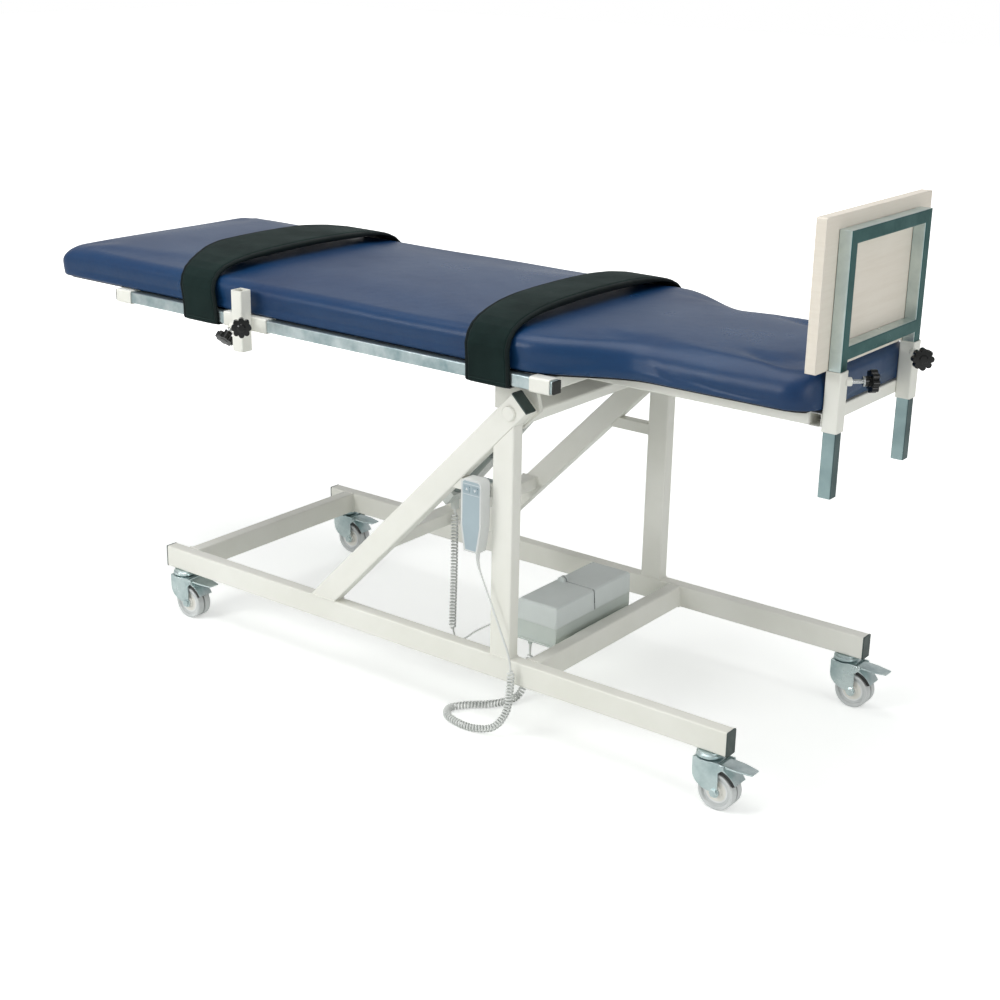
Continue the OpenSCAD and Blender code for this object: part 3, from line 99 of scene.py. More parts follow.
# The two curly cords
# Soft plastic cable wound in close curls: one runs from the handset down to the floor, lies there
# in a loop and goes up into the control box, the other hangs from the motor and runs to the box.
# A ribbed sleeve of the same plastic guards each end where it leaves a gland.
CORD_THICK = 0.0040
CURL_ACROSS = 0.0166
CURL_PITCH = 0.0072
CORD_SIDES = 10
STEPS_A_CURL = 18
SWELL_CURLS = 1.5
HANDSET_CORD_LENGTH = 3.50
MOTOR_CORD_LENGTH = 1.77
HANDSET_ROUTE = [(0.930, -0.311, 0.262), (0.930, -0.311, 0.252), (0.936, -0.311, 0.230),
                 (0.962, -0.311, 0.175), (0.992, -0.311, 0.110), (1.010, -0.311, 0.070),
                 (1.016, -0.311, 0.040), (1.017, -0.312, 0.000), (1.012, -0.316, -0.050),
                 (0.990, -0.326, -0.088), (0.950, -0.336, -0.101), (0.905, -0.336, -0.103),
                 (0.865, -0.322, -0.103), (0.848, -0.292, -0.103), (0.868, -0.258, -0.103),
                 (0.902, -0.225, -0.103), (0.922, -0.190, -0.102), (0.927, -0.158, -0.098),
                 (0.926, -0.132, -0.070), (0.925, -0.122, -0.030), (0.925, -0.120, -0.004),
                 (0.925, -0.120, 0.010)]
MOTOR_ROUTE = [(0.670, -0.060, 0.244), (0.670, -0.060, 0.226), (0.670, -0.060, 0.150),
               (0.669, -0.060, 0.060), (0.667, -0.060, -0.020), (0.668, -0.060, -0.052),
               (0.678, -0.060, -0.072), (0.702, -0.061, -0.066), (0.736, -0.062, -0.038),
               (0.786, -0.064, -0.004), (0.836, -0.066, 0.028), (0.868, -0.068, 0.046),
               (0.882, -0.068, 0.050), (0.894, -0.068, 0.050)]
HANDSET_STRAIGHT = (0.240, 0.026)
MOTOR_STRAIGHT = (0.018, 0.272)
SLEEVE_ROOT = 0.0034
SLEEVE_TIP = 0.0023
SLEEVE_RIB = 0.0004
SLEEVE_RIBS = 5
SLEEVE_RINGS = 61
SLEEVE_SIDES = 20
SPAN_STEPS = 40
ROUTE_STEPS = 200
SIDE_HINT = (0.55, 0.25, 0.80)


def smooth(share):
    """Eases from 0 to 1 with level ends: 3 t squared less 2 t cubed, t kept between 0 and 1."""
    held = np.clip(share, 0, 1)
    return held * held * (3 - 2 * held)


def run_along(points):
    """The length of a line from its first point to each of its points, step by step."""
    return np.concatenate([[0], np.cumsum(np.linalg.norm(np.diff(points, axis=0), axis=1))])


def unit(rows):
    """The same directions, each of length one."""
    return rows / np.linalg.norm(rows, axis=1)[:, None]


def at_runs(points, runs):
    """The places on a line at those lengths from its first point."""
    run = run_along(points)
    return np.stack([np.interp(runs, run, points[:, k]) for k in range(points.shape[1])], axis=1)


def even_curve(points, count):
    """A Catmull-Rom curve through the points, sampled at even steps of its own length."""
    p = np.array([base_point(*q) for q in points])
    p = np.vstack([p[:1], p, p[-1:]])
    t = np.linspace(0, 1, SPAN_STEPS, endpoint=False)[:, None]
    spans = [0.5 * (2 * p[i + 1] + (p[i + 2] - p[i]) * t
                    + (2 * p[i] - 5 * p[i + 1] + 4 * p[i + 2] - p[i + 3]) * t ** 2
                    + (3 * p[i + 1] - p[i] - 3 * p[i + 2] + p[i + 3]) * t ** 3)
             for i in range(len(p) - 3)]
    fine = np.vstack(spans + [p[-1:]])
    stations = np.linspace(0, run_along(fine)[-1], count)
    return at_runs(fine, stations), stations


def carried_frame(path):
    """Heading, side and up at each point, without twist.

    The side is square to a fixed direction first; what it turns about the heading from one point to
    the next is summed up and turned back.
    """
    heading = unit(np.gradient(path, axis=0))
    side = unit(np.cross(heading, np.array(SIDE_HINT)))
    up = np.cross(heading, side)
    drift = np.einsum("ij,ij->i", np.diff(side, axis=0), up[:-1])
    twist = -np.concatenate([[0], np.cumsum(drift)])[:, None]
    return heading, side * np.cos(twist) + up * np.sin(twist), up * np.cos(twist) - side * np.sin(twist)


def grid_piece(name, grids, ring=False, looped=False, capped=False, marks=None):
    """A mesh through grids of points, rows by columns, with a quad between each four neighbours.

    A ring joins the last column to the first, looped the last row to the first, and capped closes
    the first and last row. Marks give every point its place on the surface, kept as the UV map.
    """
    faces = []
    first = 0
    for grid in grids:
        rows, columns = grid.shape[:2]
        index = first + np.arange(rows * columns).reshape(rows, columns)
        right = np.roll(index, -1, axis=1)
        quads = np.stack([index, right, np.roll(right, -1, axis=0), np.roll(index, -1, axis=0)], axis=-1)
        kept = quads[:rows if looped else rows - 1, :columns if ring else columns - 1]
        faces += kept.reshape(-1, 4).tolist()
        if capped:
            faces += [index[0, ::-1].tolist(), index[-1].tolist()]
        first += rows * columns
    mesh = bpy.data.meshes.new(name)
    mesh.from_pydata(np.vstack([grid.reshape(-1, 3) for grid in grids]).tolist(), [], faces)
    mesh.shade_smooth()
    if marks is not None:
        corners = np.zeros(len(mesh.loops), dtype=np.int64)
        mesh.loops.foreach_get("vertex_index", corners)
        layer = mesh.uv_layers.new(name="surface_place")
        layer.data.foreach_set("uv", marks.reshape(-1, 2)[corners].ravel())
    piece = bpy.data.objects.new(name, mesh)
    bpy.context.scene.collection.objects.link(piece)
    return piece


def tube_rings(path, radius, sides):
    """At each point of the path, a circle of points in the plane of side and up."""
    side, up = carried_frame(path)[1:]
    angle = np.linspace(0, 2 * np.pi, sides, endpoint=False)[None, :, None]
    reach = np.broadcast_to(radius, len(path))[:, None, None]
    return path[:, None, :] + reach * (np.cos(angle) * side[:, None, :] + np.sin(angle) * up[:, None, :])


def curly_path(route, straight, length):
    """The line of a cord wound round its route: straight, then curls, then straight again.

    Each curl is one turn of a helix whose radius grows over the first curls and shrinks over the
    last. The number of curls is what uses up the cord's real length.
    """
    radius = (CURL_ACROSS - CORD_THICK) / 2
    turn = math.hypot(2 * math.pi * radius, CURL_PITCH)
    curls = round((length - straight[0] - straight[1]) / turn)
    reach = even_curve(route, ROUTE_STEPS)[1][-1]
    curly = reach - straight[0] - straight[1]
    path, run = even_curve(route, int(curls * STEPS_A_CURL * reach / curly))
    turns = np.clip((run - straight[0]) / curly, 0, 1) * curls
    swell = radius * smooth(np.minimum(turns, curls - turns) / SWELL_CURLS)[:, None]
    side, up = carried_frame(path)[1:]
    angle = (2 * np.pi * turns)[:, None]
    return path + swell * (np.cos(angle) * side + np.sin(angle) * up)


def cord_sleeve(name, path, start, length, body):
    """A tapered ribbed sleeve round the cord from that run on: radius falls evenly, plus a wave."""
    share = np.linspace(0, 1, SLEEVE_RINGS)
    ribs = SLEEVE_RIB * (0.5 + 0.5 * np.cos(2 * np.pi * SLEEVE_RIBS * share))
    radius = SLEEVE_ROOT + (SLEEVE_TIP - SLEEVE_ROOT) * share + ribs
    rings = tube_rings(at_runs(path, start + length * share), radius, SLEEVE_SIDES)
    piece = grid_piece(name, [rings], ring=True, capped=True)
    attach(piece, body)
    return piece


def curly_cord(name, path, node, start_body="base"):
    """A tube along the curly line, in place of the plain solid.

    It rides on the base, or else it stays where it is, with its transform baked in.
    """
    piece = grid_piece(name, [tube_rings(path, CORD_THICK / 2, CORD_SIDES)], ring=True, capped=True)
    if start_body == "base":
        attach(piece, "base")
    else:
        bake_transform(piece)
    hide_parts(node)
    return piece


handset_path = curly_path(HANDSET_ROUTE, HANDSET_STRAIGHT, HANDSET_CORD_LENGTH)
motor_path = curly_path(MOTOR_ROUTE, MOTOR_STRAIGHT, MOTOR_CORD_LENGTH)
handset_sleeves = [
    cord_sleeve("handset_cord_sleeve", handset_path, start=0.006, length=0.024, body="base"),
    cord_sleeve("box_floor_sleeve", handset_path[::-1], start=0.003, length=0.018, body="base")]
motor_sleeves = [
    cord_sleeve("motor_cord_sleeve", motor_path, start=0.008, length=0.012, body="actuator_body"),
    cord_sleeve("box_side_sleeve", motor_path[::-1], start=0.007, length=0.022, body="base")]
handset_cord = curly_cord("handset_curly_cord", handset_path, "handset_cord")
motor_cord = curly_cord("motor_curly_cord", motor_path, "motor_cord",
                        start_body="actuator_body")

# Studio floor and light
# A pale floor that keeps the table's soft shadow and fades to the white of the room far off, and
# three large lamps: overhead, at the front left, and a weaker one at the foot end. The camera sees a
# white room; its light on the table is dimmer, most of all towards the foot end.
FLOOR_HALF = 20.0
FLOOR_PALE = (0.88, 0.90, 0.88)
FLOOR_LIFT = 0.40
FLOOR_MIRRORED = 0.15
FLOOR_FADE = (1.3, 3.2)
ROOM_WHITE = (1.0, 1.0, 1.0)
ROOM_BRIGHT = 0.56
ROOM_DIM = 0.42
ROOM_TURN = (-0.1, 0.75)
LAMP_AIM = Vector((0.0, 0.0, 0.6))
# Each lamp's name, place, size across and power in watts
LAMPS = [("lamp_above", (-0.2, -0.5, 3.4), 2.6, 50.0), ("lamp_front", (-1.6, -3.4, 2.2), 1.6, 55.0),
         ("lamp_foot", (4.2, -1.0, 1.6), 1.8, 30.0)]


def new_material(name):
    """A fresh material; returns it with its node tree and its Principled shader."""
    material = bpy.data.materials.new(name)
    material.use_nodes = True
    return material, material.node_tree, material.node_tree.nodes["Principled BSDF"]


def put(tree, socket, source):
    """Wires the source into the socket, or sets it there: a plain value, or a colour's three parts."""
    if hasattr(source, "links"):
        tree.links.new(source, socket)
    elif socket.type == "RGBA":
        socket.default_value = (*source, 1.0)
    else:
        socket.default_value = source


def feed(tree, node, **inputs):
    """Puts each input of a shader node by its name, with an underscore for a blank."""
    for key, source in inputs.items():
        put(tree, node.inputs[key.replace("_", " ")], source)


def wired(tree, kind, wires=(), **settings):
    """A new shader node of that kind in the tree, with its settings and its inputs."""
    node = tree.nodes.new("ShaderNode" + kind)
    for key, value in settings.items():
        setattr(node, key, value)
    for socket, source in wires:
        put(tree, node.inputs[socket], source)
    return node


def own_place(tree):
    """The place of a point in the piece's own coordinates."""
    return wired(tree, "TexCoord").outputs["Object"]


def parts_of(tree, vector):
    """The three parts of a vector, by X, Y and Z."""
    return wired(tree, "SeparateXYZ", [(0, vector)]).outputs


def calc(tree, operation, *terms):
    """The outcome of one sum, product or other step on one, two or three terms."""
    return wired(tree, "Math", list(enumerate(terms)), operation=operation).outputs["Value"]


def stepped(tree, value, start, end):
    """Runs from 0 where the value is at start to 1 where it is at end, and is held outside them."""
    ramp = wired(tree, "MapRange", [("Value", value), ("From Min", start), ("From Max", end)])
    return ramp.outputs["Result"]


def seen_rays(tree):
    """Two masks: 1 for rays straight from the camera, and 1 for mirrored ones or ones through glass."""
    rays = wired(tree, "LightPath").outputs
    mirrored = calc(tree, "MAXIMUM", rays["Is Glossy Ray"], rays["Is Transmission Ray"])
    return rays["Is Camera Ray"], mirrored


def floor_material():
    """A matt pale floor that glows to the camera, fully beyond the fading distance, and less in mirrors."""
    material, tree, shader = new_material("studio_floor")
    away = wired(tree, "VectorMath", [(0, own_place(tree))], operation="LENGTH").outputs["Value"]
    fade = calc(tree, "MULTIPLY_ADD", stepped(tree, away, *FLOOR_FADE), 1 - FLOOR_LIFT, FLOOR_LIFT)
    seen, mirrored = seen_rays(tree)
    shown = calc(tree, "MAXIMUM", seen, calc(tree, "MULTIPLY", mirrored, FLOOR_MIRRORED))
    feed(tree, shader, Base_Color=FLOOR_PALE, Roughness=0.9, Specular_IOR_Level=0.1,
         Emission_Color=ROOM_WHITE, Emission_Strength=calc(tree, "MULTIPLY", shown, fade))
    return material


floor_points = np.array([[[-FLOOR_HALF, -FLOOR_HALF, 0.0], [-FLOOR_HALF, FLOOR_HALF, 0.0]],
                         [[FLOOR_HALF, -FLOOR_HALF, 0.0], [FLOOR_HALF, FLOOR_HALF, 0.0]]])
floor = grid_piece("studio_floor", [floor_points[:, ::-1]])
floor.data.materials.append(floor_material())

room = bpy.data.worlds.new("studio_room")
room.use_nodes = True
bpy.context.scene.world = room
room_tree = room.node_tree
room_light = room_tree.nodes["Background"]
put(room_tree, room_light.inputs["Color"], ROOM_WHITE)
room_along = parts_of(room_tree, wired(room_tree, "TexCoord").outputs["Generated"])["X"]
room_level = wired(room_tree, "MapRange",
                   [("Value", room_along), ("From Min", ROOM_TURN[0]), ("From Max", ROOM_TURN[1]),
                    ("To Min", ROOM_BRIGHT), ("To Max", ROOM_DIM)])
room_tree.links.new(room_level.outputs["Result"], room_light.inputs["Strength"])
room_seen = wired(room_tree, "Background", [("Color", ROOM_WHITE)])
room_mix = wired(room_tree, "MixShader",
                 [("Fac", seen_rays(room_tree)[0]), (1, room_light.outputs["Background"]),
                  (2, room_seen.outputs["Background"])])
room_tree.links.new(room_mix.outputs["Shader"], room_tree.nodes["World Output"].inputs["Surface"])

for lamp_name, place, size, power in LAMPS:
    lamp_data = bpy.data.lights.new(lamp_name, "AREA")
    lamp_data.shape = "DISK"
    lamp_data.size = size
    lamp_data.energy = power
    lamp = bpy.data.objects.new(lamp_name, lamp_data)
    lamp.location = place
    lamp.rotation_euler = (LAMP_AIM - Vector(place)).to_track_quat("-Z", "Y").to_euler()
    bpy.context.scene.collection.objects.link(lamp)

# Shared surface effects
# No surface here is one flat tone. The groups give uneven tone with a fine ripple, softened edges
# and sparse handling marks, and finish_material puts them together for most of the finishes.
CLOUD_ROUGH = 0.62
CLOUD_SPREAD = (0.36, 0.68)
EDGE_LEAN = (0.995, 0.90)
SCRATCH_BEND = 0.02
SCRATCH_WIDTH = 0.012
SCRATCH_SPREAD = (0.52, 0.66)
MARKS_FINER = 3.0
MARKS_ROUGH = 0.5


def new_group(name, inputs, outputs):
    """An empty shader group with sockets; inputs are (name, kind, value) and outputs (name, kind)."""
    group = bpy.data.node_groups.new(name, "ShaderNodeTree")
    for socket_name, kind, value in inputs:
        socket = group.interface.new_socket(socket_name, in_out="INPUT", socket_type="NodeSocket" + kind)
        socket.default_value = (*value, 1.0) if kind == "Color" else value
    for socket_name, kind in outputs:
        group.interface.new_socket(socket_name, in_out="OUTPUT", socket_type="NodeSocket" + kind)
    start = group.nodes.new("NodeGroupInput")
    end = group.nodes.new("NodeGroupOutput")
    return group, start.outputs, end.inputs


def placed(tree, group, **values):
    """The group as a node of a material, with its values; an underscore stands for a blank."""
    node = wired(tree, "Group", node_tree=group)
    for key, value in values.items():
        put(tree, node.inputs[key.replace("_", " ").title()], value)
    return node.outputs


def bumped(tree, height, depth, under=None, strength=1.0):
    """The normal of a surface raised by the height times the depth, over the normal under it if any."""
    node = wired(tree, "Bump", [("Height", height), ("Distance", depth), ("Strength", strength)])
    if under is not None:
        put(tree, node.inputs["Normal"], under)
    return node.outputs["Normal"]


def noise(tree, place, scale, detail, **others):
    """Noise at that scale; its outputs are a level and a colour."""
    node = wired(tree, "TexNoise", [("Vector", place), ("Scale", scale), ("Detail", detail)])
    feed(tree, node, **others)
    return node.outputs


def blended(tree, share, first, second):
    """A colour between two, by the share: all of the first at 0 and all of the second at 1."""
    mix = wired(tree, "Mix", [("Factor", share), ("A", first), ("B", second)], data_type="RGBA")
    return mix.outputs["Result"]


def roughened(tree, mask, rough, swing):
    """The least roughness, and the swing more where the mask is full."""
    return calc(tree, "MULTIPLY_ADD", mask, swing, rough)


def uneven_group():
    """Two tones mixed by slow noise, with a fine ripple: out come the colour, a mask and a height."""
    group, given, out = new_group(
        "uneven_tone",
        [("Light Tone", "Color", (0.8, 0.8, 0.8)), ("Dark Tone", "Color", (0.6, 0.6, 0.6)),
         ("Cloud Scale", "Float", 6.0), ("Ripple Scale", "Float", 600.0)],
        [("Color", "Color"), ("Mask", "Float"), ("Ripple", "Float")])
    place = own_place(group)
    clouds = noise(group, place, given["Cloud Scale"], detail=5.0, Roughness=CLOUD_ROUGH)
    spread = stepped(group, clouds["Fac"], *CLOUD_SPREAD)
    group.links.new(blended(group, spread, given["Light Tone"], given["Dark Tone"]), out["Color"])
    group.links.new(spread, out["Mask"])
    group.links.new(noise(group, place, given["Ripple Scale"], detail=2.0)["Fac"], out["Ripple"])
    return group


def edge_group():
    """Where the surface turns: the rounded normal of a small radius, and a mask of how far it leans."""
    group, given, out = new_group("soft_edge", [("Radius", "Float", 0.002)],
                                  [("Mask", "Float"), ("Normal", "Vector")])
    rounded = wired(group, "Bevel", [("Radius", given["Radius"])], samples=6)
    surface = wired(group, "NewGeometry")
    facing = wired(group, "VectorMath",
                   [(0, rounded.outputs["Normal"]), (1, surface.outputs["Normal"])], operation="DOT_PRODUCT")
    group.links.new(stepped(group, facing.outputs["Value"], *EDGE_LEAN), out["Mask"])
    group.links.new(rounded.outputs["Normal"], out["Normal"])
    return group


def dust_group():
    """Handling marks: sparse fine scratches and specks, out as one mask that roughens the surface."""
    group, given, out = new_group("handling_marks", [("Scale", "Float", 40.0), ("Amount", "Float", 0.5)],
                                  [("Mask", "Float")])
    place = own_place(group)
    bend = noise(group, place, given["Scale"], detail=3.0)
    shifted = wired(group, "VectorMath", [(0, place), (1, bend["Color"]), (2, (SCRATCH_BEND,) * 3)],
                    operation="MULTIPLY_ADD").outputs["Vector"]
    lines = wired(group, "TexVoronoi", [("Vector", shifted), ("Scale", given["Scale"])],
                  feature="DISTANCE_TO_EDGE")
    thin = stepped(group, lines.outputs["Distance"], SCRATCH_WIDTH, 0.0)
    some = stepped(group, bend["Fac"], *SCRATCH_SPREAD)
    marked = calc(group, "MULTIPLY", thin, some)
    group.links.new(calc(group, "MULTIPLY", marked, given["Amount"]), out["Mask"])
    return group


uneven_tone = uneven_group()
soft_edge = edge_group()
handling_marks = dust_group()


def finish_material(name, light, dark, edge, rough, swing=0.10, clouds=12.0, ripple=900.0, depth=0.00003,
                    rim=0.0012, metallic=0.0, edge_share=0.6, marks=0.3, tint=None):
    """A finish from the shared effects: uneven tone, fine ripple, handling marks and its edge tone.

    Rough is the least roughness and swing what the clouds add. Clouds and ripple are the scales of
    the slow and fine noise, depth is the ripple's in metres, and rim the radius of a softened edge.
    Tint is a function of the tree and the colour so far that gives the colour to use.
    """
    material, tree, shader = new_material(name)
    tone = placed(tree, uneven_tone, light_tone=light, dark_tone=dark, cloud_scale=clouds,
                  ripple_scale=ripple)
    turned = placed(tree, soft_edge, radius=rim)
    worn = placed(tree, handling_marks, scale=MARKS_FINER * clouds, amount=marks)
    colour = tone["Color"] if tint is None else tint(tree, tone["Color"])
    colour = blended(tree, calc(tree, "MULTIPLY", turned["Mask"], edge_share), colour, edge)
    normal = bumped(tree, tone["Ripple"], depth, turned["Normal"])
    roughness = calc(tree, "ADD", roughened(tree, tone["Mask"], rough, swing),
                     calc(tree, "MULTIPLY", worn["Mask"], MARKS_ROUGH))
    feed(tree, shader, Base_Color=colour, Roughness=roughness, Normal=normal, Metallic=metallic)
    return material


def dress(material, *names):
    """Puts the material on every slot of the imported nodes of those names."""
    for name in names:
        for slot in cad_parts[name].material_slots:
            slot.material = material

# Painted tube frame
# Welded square and rectangular steel tube with a satin off-white powder coat: base, posts,
# diagonals, the top's frame, sleeves and clamp. The coat is slightly uneven, thin on the edges,
# and runs over the lumpy weld beads where tubes meet.
PAINT = (0.82, 0.82, 0.765)
PAINT_SHADE = (0.755, 0.755, 0.685)
PAINT_EDGE = (0.88, 0.88, 0.84)
BEAD_RADIUS = 0.0019
BEAD_STEP = 0.0012
BEAD_SCALES = 0.0038
BEAD_LUMP_SHARE = 0.18
BEAD_SIDES = 8


def bead_rings(corners):
    """A closed weld bead through the corners: a tube whose radius swells and shrinks as it was laid."""
    line = np.array([base_point(*c) for c in corners + corners[:1]])
    whole = run_along(line)[-1]
    runs = np.linspace(0, whole, int(whole / BEAD_STEP), endpoint=False)
    path = at_runs(line, runs)
    heading = unit(np.roll(path, -1, axis=0) - np.roll(path, 1, axis=0))
    square = np.cross(line[1] - line[0], line[2] - line[1])
    square = np.broadcast_to(square / np.linalg.norm(square), heading.shape)
    side = np.cross(square, heading)
    lumps = 1 - BEAD_LUMP_SHARE * (1 - np.abs(np.sin(np.pi * runs / BEAD_SCALES)))
    angle = np.linspace(0, 2 * np.pi, BEAD_SIDES, endpoint=False)[None, :, None]
    reach = (BEAD_RADIUS * lumps)[:, None, None]
    round_it = np.cos(angle) * side[:, None, :] + np.sin(angle) * square[:, None, :]
    return path[:, None, :] + reach * round_it


def level_bead(x0, x1, y0, y1, z):
    """Bead corners round an upright tube that stands on a level face."""
    return [(x0, y0, z), (x1, y0, z), (x1, y1, z), (x0, y1, z)]


def cross_bead(x0, x1, z0, z1, y):
    """Bead corners round a tube that runs across the table and meets an upright face."""
    return [(x0, y, z0), (x0, y, z1), (x1, y, z1), (x1, y, z0)]


paint = finish_material("powder_coat", PAINT, PAINT_SHADE, PAINT_EDGE, rough=0.30, swing=0.12, clouds=3.0,
                        ripple=620.0, depth=0.00004, rim=0.0022)
dress(paint, "base_rails", "base_cross_tubes", "posts", "diagonals", "post_ties", "low_cross_tube",
      "actuator_lugs", "control_tray", "trunk_tubes", "leg_tubes", "top_cross_tubes", "pivot_tube",
      "pivot_plates", "lever_lugs", "rail_holders", "foot_sleeves", "rail_clamp", "pivot_bolts")


def in_base(node):
    """The low and high corner of a node's box in base coordinates."""
    low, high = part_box(node)
    return low - base_start, high - base_start


post_low, post_high = in_base("posts")
rail_in = in_base("base_cross_tubes")[1].y
rail_out = post_high.y
rail_top = in_base("base_rails")[1].z
low_tube = in_base("low_cross_tube")
cross_tube = in_base("base_cross_tubes")
TUBE_NARROW = 0.030
DIAGONAL_RISE = math.radians(45.8)
diagonal_low = in_base("diagonals")[0].x
diagonal_reach = rail_top / math.sin(DIAGONAL_RISE)
base_beads = []
for side_way in (-1, 1):
    base_beads.append(level_bead(post_low.x, post_high.x, side_way * rail_in, side_way * rail_out, rail_top))
    base_beads.append(level_bead(diagonal_low, diagonal_low + diagonal_reach, side_way * rail_in,
                                 side_way * rail_out, rail_top))
    base_beads.append(cross_bead(low_tube[0].x, low_tube[1].x, low_tube[0].z, low_tube[1].z,
                                 side_way * rail_in))
    for start_x in (cross_tube[0].x, cross_tube[1].x - TUBE_NARROW):
        base_beads.append(cross_bead(start_x, start_x + TUBE_NARROW, 0.0, rail_top, side_way * rail_in))
base_welds = grid_piece("base_weld_beads", [bead_rings(corners) for corners in base_beads], ring=True,
                        looped=True)
base_welds.data.materials.append(paint)
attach(base_welds, "base")

plates = in_base("pivot_plates")
knee_tube = in_base("leg_tubes")[0].x
SMALL_TUBE = 0.025
PLATE_THICK = 0.010
PLATE_TAIL = 0.016
table_beads = []
for side_way in (-1, 1):
    table_beads.append(level_bead(plates[0].x, plates[1].x - PLATE_TAIL,
                                  side_way * (plates[1].y - PLATE_THICK), side_way * plates[1].y,
                                  plates[1].z))
    table_beads.append(cross_bead(knee_tube - SMALL_TUBE, knee_tube, plates[1].z, plates[1].z + SMALL_TUBE,
                                  side_way * in_base("trunk_tubes")[1].y))
table_welds = grid_piece("table_weld_beads", [bead_rings(corners) for corners in table_beads], ring=True,
                         looped=True)
table_welds.data.materials.append(paint)
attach(table_welds, "table")

# Zinc-plated steel
# Pins, caster forks and tops and the handset's hook are pressed or turned with bright zinc, clouded
# in patches by the plating bath. The square side rails are drawn tube, duller and streaked.
zinc = finish_material("zinc_plate", (0.66, 0.75, 0.75), (0.36, 0.46, 0.47), (0.84, 0.89, 0.89),
                       rough=0.22, swing=0.20, clouds=13.0, depth=0.00002, metallic=0.92, edge_share=0.5,
                       marks=0.7)
dress(zinc, "actuator_low_pin", "lever_pin", "handset_hook", "caster_tops")
rail_zinc = finish_material("rail_zinc", (0.52, 0.59, 0.60), (0.24, 0.33, 0.35), (0.70, 0.77, 0.78),
                            rough=0.28, swing=0.22, clouds=19.0, depth=0.00002, metallic=0.92,
                            edge_share=0.5, marks=0.9)
dress(rail_zinc, "side_rail_front", "side_rail_rear")

# Footboard frame
# The same plated square tube, welded into a frame on two legs that slide in the sleeves. Its faces
# along the board, which look to the head and foot ends, carry painted shade: dark zinc tones as if
# in shadow. From just above the sleeves' tops down, the legs take their own tones, darker on the flanks.
ZINC_FLANK = (0.66, 0.75, 0.735)
ZINC_FLANK_LEG = (0.30, 0.40, 0.41)
# Painted shade: the zinc tones of the faces that look to the head and foot ends, dark as if in shadow.
ZINC_PAINTED_SHADE = (0.027, 0.118, 0.114)
ZINC_PAINTED_SHADE_LEG = (0.066, 0.112, 0.114)
PAINTED_SHADE_FACING = (0.55, 0.80)
LEG_MARGIN = 0.01
BATH_SHARE = 0.55
sleeve_low, sleeve_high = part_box("foot_sleeves")


def painted_shade_tint(tree, colour):
    """Mixes the four zinc tones by which way a face looks, with painted shade on the faces that look to the
    head and foot ends, and by height for the legs, and the clouds over them.
    """
    seen = wired(tree, "TexCoord").outputs
    facing = parts_of(tree, seen["Normal"])["X"]
    # Painted shade mask: 1 on faces that look to the head or foot end, which get the dark tones.
    back = stepped(tree, calc(tree, "ABSOLUTE", facing), *PAINTED_SHADE_FACING)
    height = parts_of(tree, seen["Object"])["Z"]
    leg = stepped(tree, height, sleeve_high.z + LEG_MARGIN, sleeve_low.z)
    above = blended(tree, back, ZINC_FLANK, ZINC_PAINTED_SHADE)
    below = blended(tree, back, ZINC_FLANK_LEG, ZINC_PAINTED_SHADE_LEG)
    tones = blended(tree, leg, above, below)
    cloudy = wired(tree, "Mix", [("Factor", BATH_SHARE), ("A", tones), ("B", colour)], data_type="RGBA",
                   blend_type="MULTIPLY")
    return cloudy.outputs["Result"]


frame_zinc = finish_material("frame_zinc", (1.0, 1.0, 1.0), (0.55, 0.60, 0.62), (0.50, 0.60, 0.61),
                             rough=0.26, swing=0.18, depth=0.00002, metallic=0.9, edge_share=0.4,
                             marks=0.7, tint=painted_shade_tint)
dress(frame_zinc, "footboard_frame")

# Moulded end caps and rail plugs
# Push-in caps of dark grey-green polythene close the rails' and diagonals' ends, black ones the
# side rails.
cap_plastic = finish_material("end_cap_plastic", (0.044, 0.068, 0.062), (0.032, 0.051, 0.047),
                              (0.075, 0.105, 0.098), rough=0.42, clouds=30.0, ripple=1400.0)
plug_plastic = finish_material("rail_plug_plastic", (0.006, 0.007, 0.007), (0.004, 0.005, 0.005),
                               (0.014, 0.015, 0.015), rough=0.45, clouds=40.0, ripple=1500.0, rim=0.0008)
dress(cap_plastic, "base_caps")
dress(plug_plastic, "rail_plugs")

# Star knobs
# Glossy black moulded stars on bright threaded stems; they lock the footboard's legs, the clamp on
# the rail and the clamp's socket.
KNOB_BLACK = (0.005, 0.006, 0.006)
STEM_BRIGHT = (0.62, 0.64, 0.65)
STEM_SOFT = 0.0004
THREAD_RATE = 5200.0
THREAD_DEPTH = 0.00012
MOULD_SHARE = 0.2
HUB_EDGE = (0.0095, 0.0062)
HUB_HIGH = 0.0024
KNOB_BOW = 900.0


def reach_group():
    """How far a point lies from a start: along an axis of length one, and square to it."""
    group, given, out = new_group(
        "reach_from_start", [("Start", "Vector", (0, 0, 0)), ("Axis", "Vector", (0, 1, 0))],
        [("Along", "Float"), ("Away", "Float")])
    place = own_place(group)
    offset = wired(group, "VectorMath", [(0, place), (1, given["Start"])],
                   operation="SUBTRACT").outputs["Vector"]
    along = wired(group, "VectorMath", [(0, offset), (1, given["Axis"])],
                  operation="DOT_PRODUCT").outputs["Value"]
    whole = wired(group, "VectorMath", [(0, offset)], operation="LENGTH").outputs["Value"]
    square = calc(group, "SUBTRACT", calc(group, "MULTIPLY", whole, whole),
                  calc(group, "MULTIPLY", along, along))
    group.links.new(along, out["Along"])
    group.links.new(calc(group, "SQRT", calc(group, "MAXIMUM", square, 0.0)), out["Away"])
    return group


reach_from_start = reach_group()


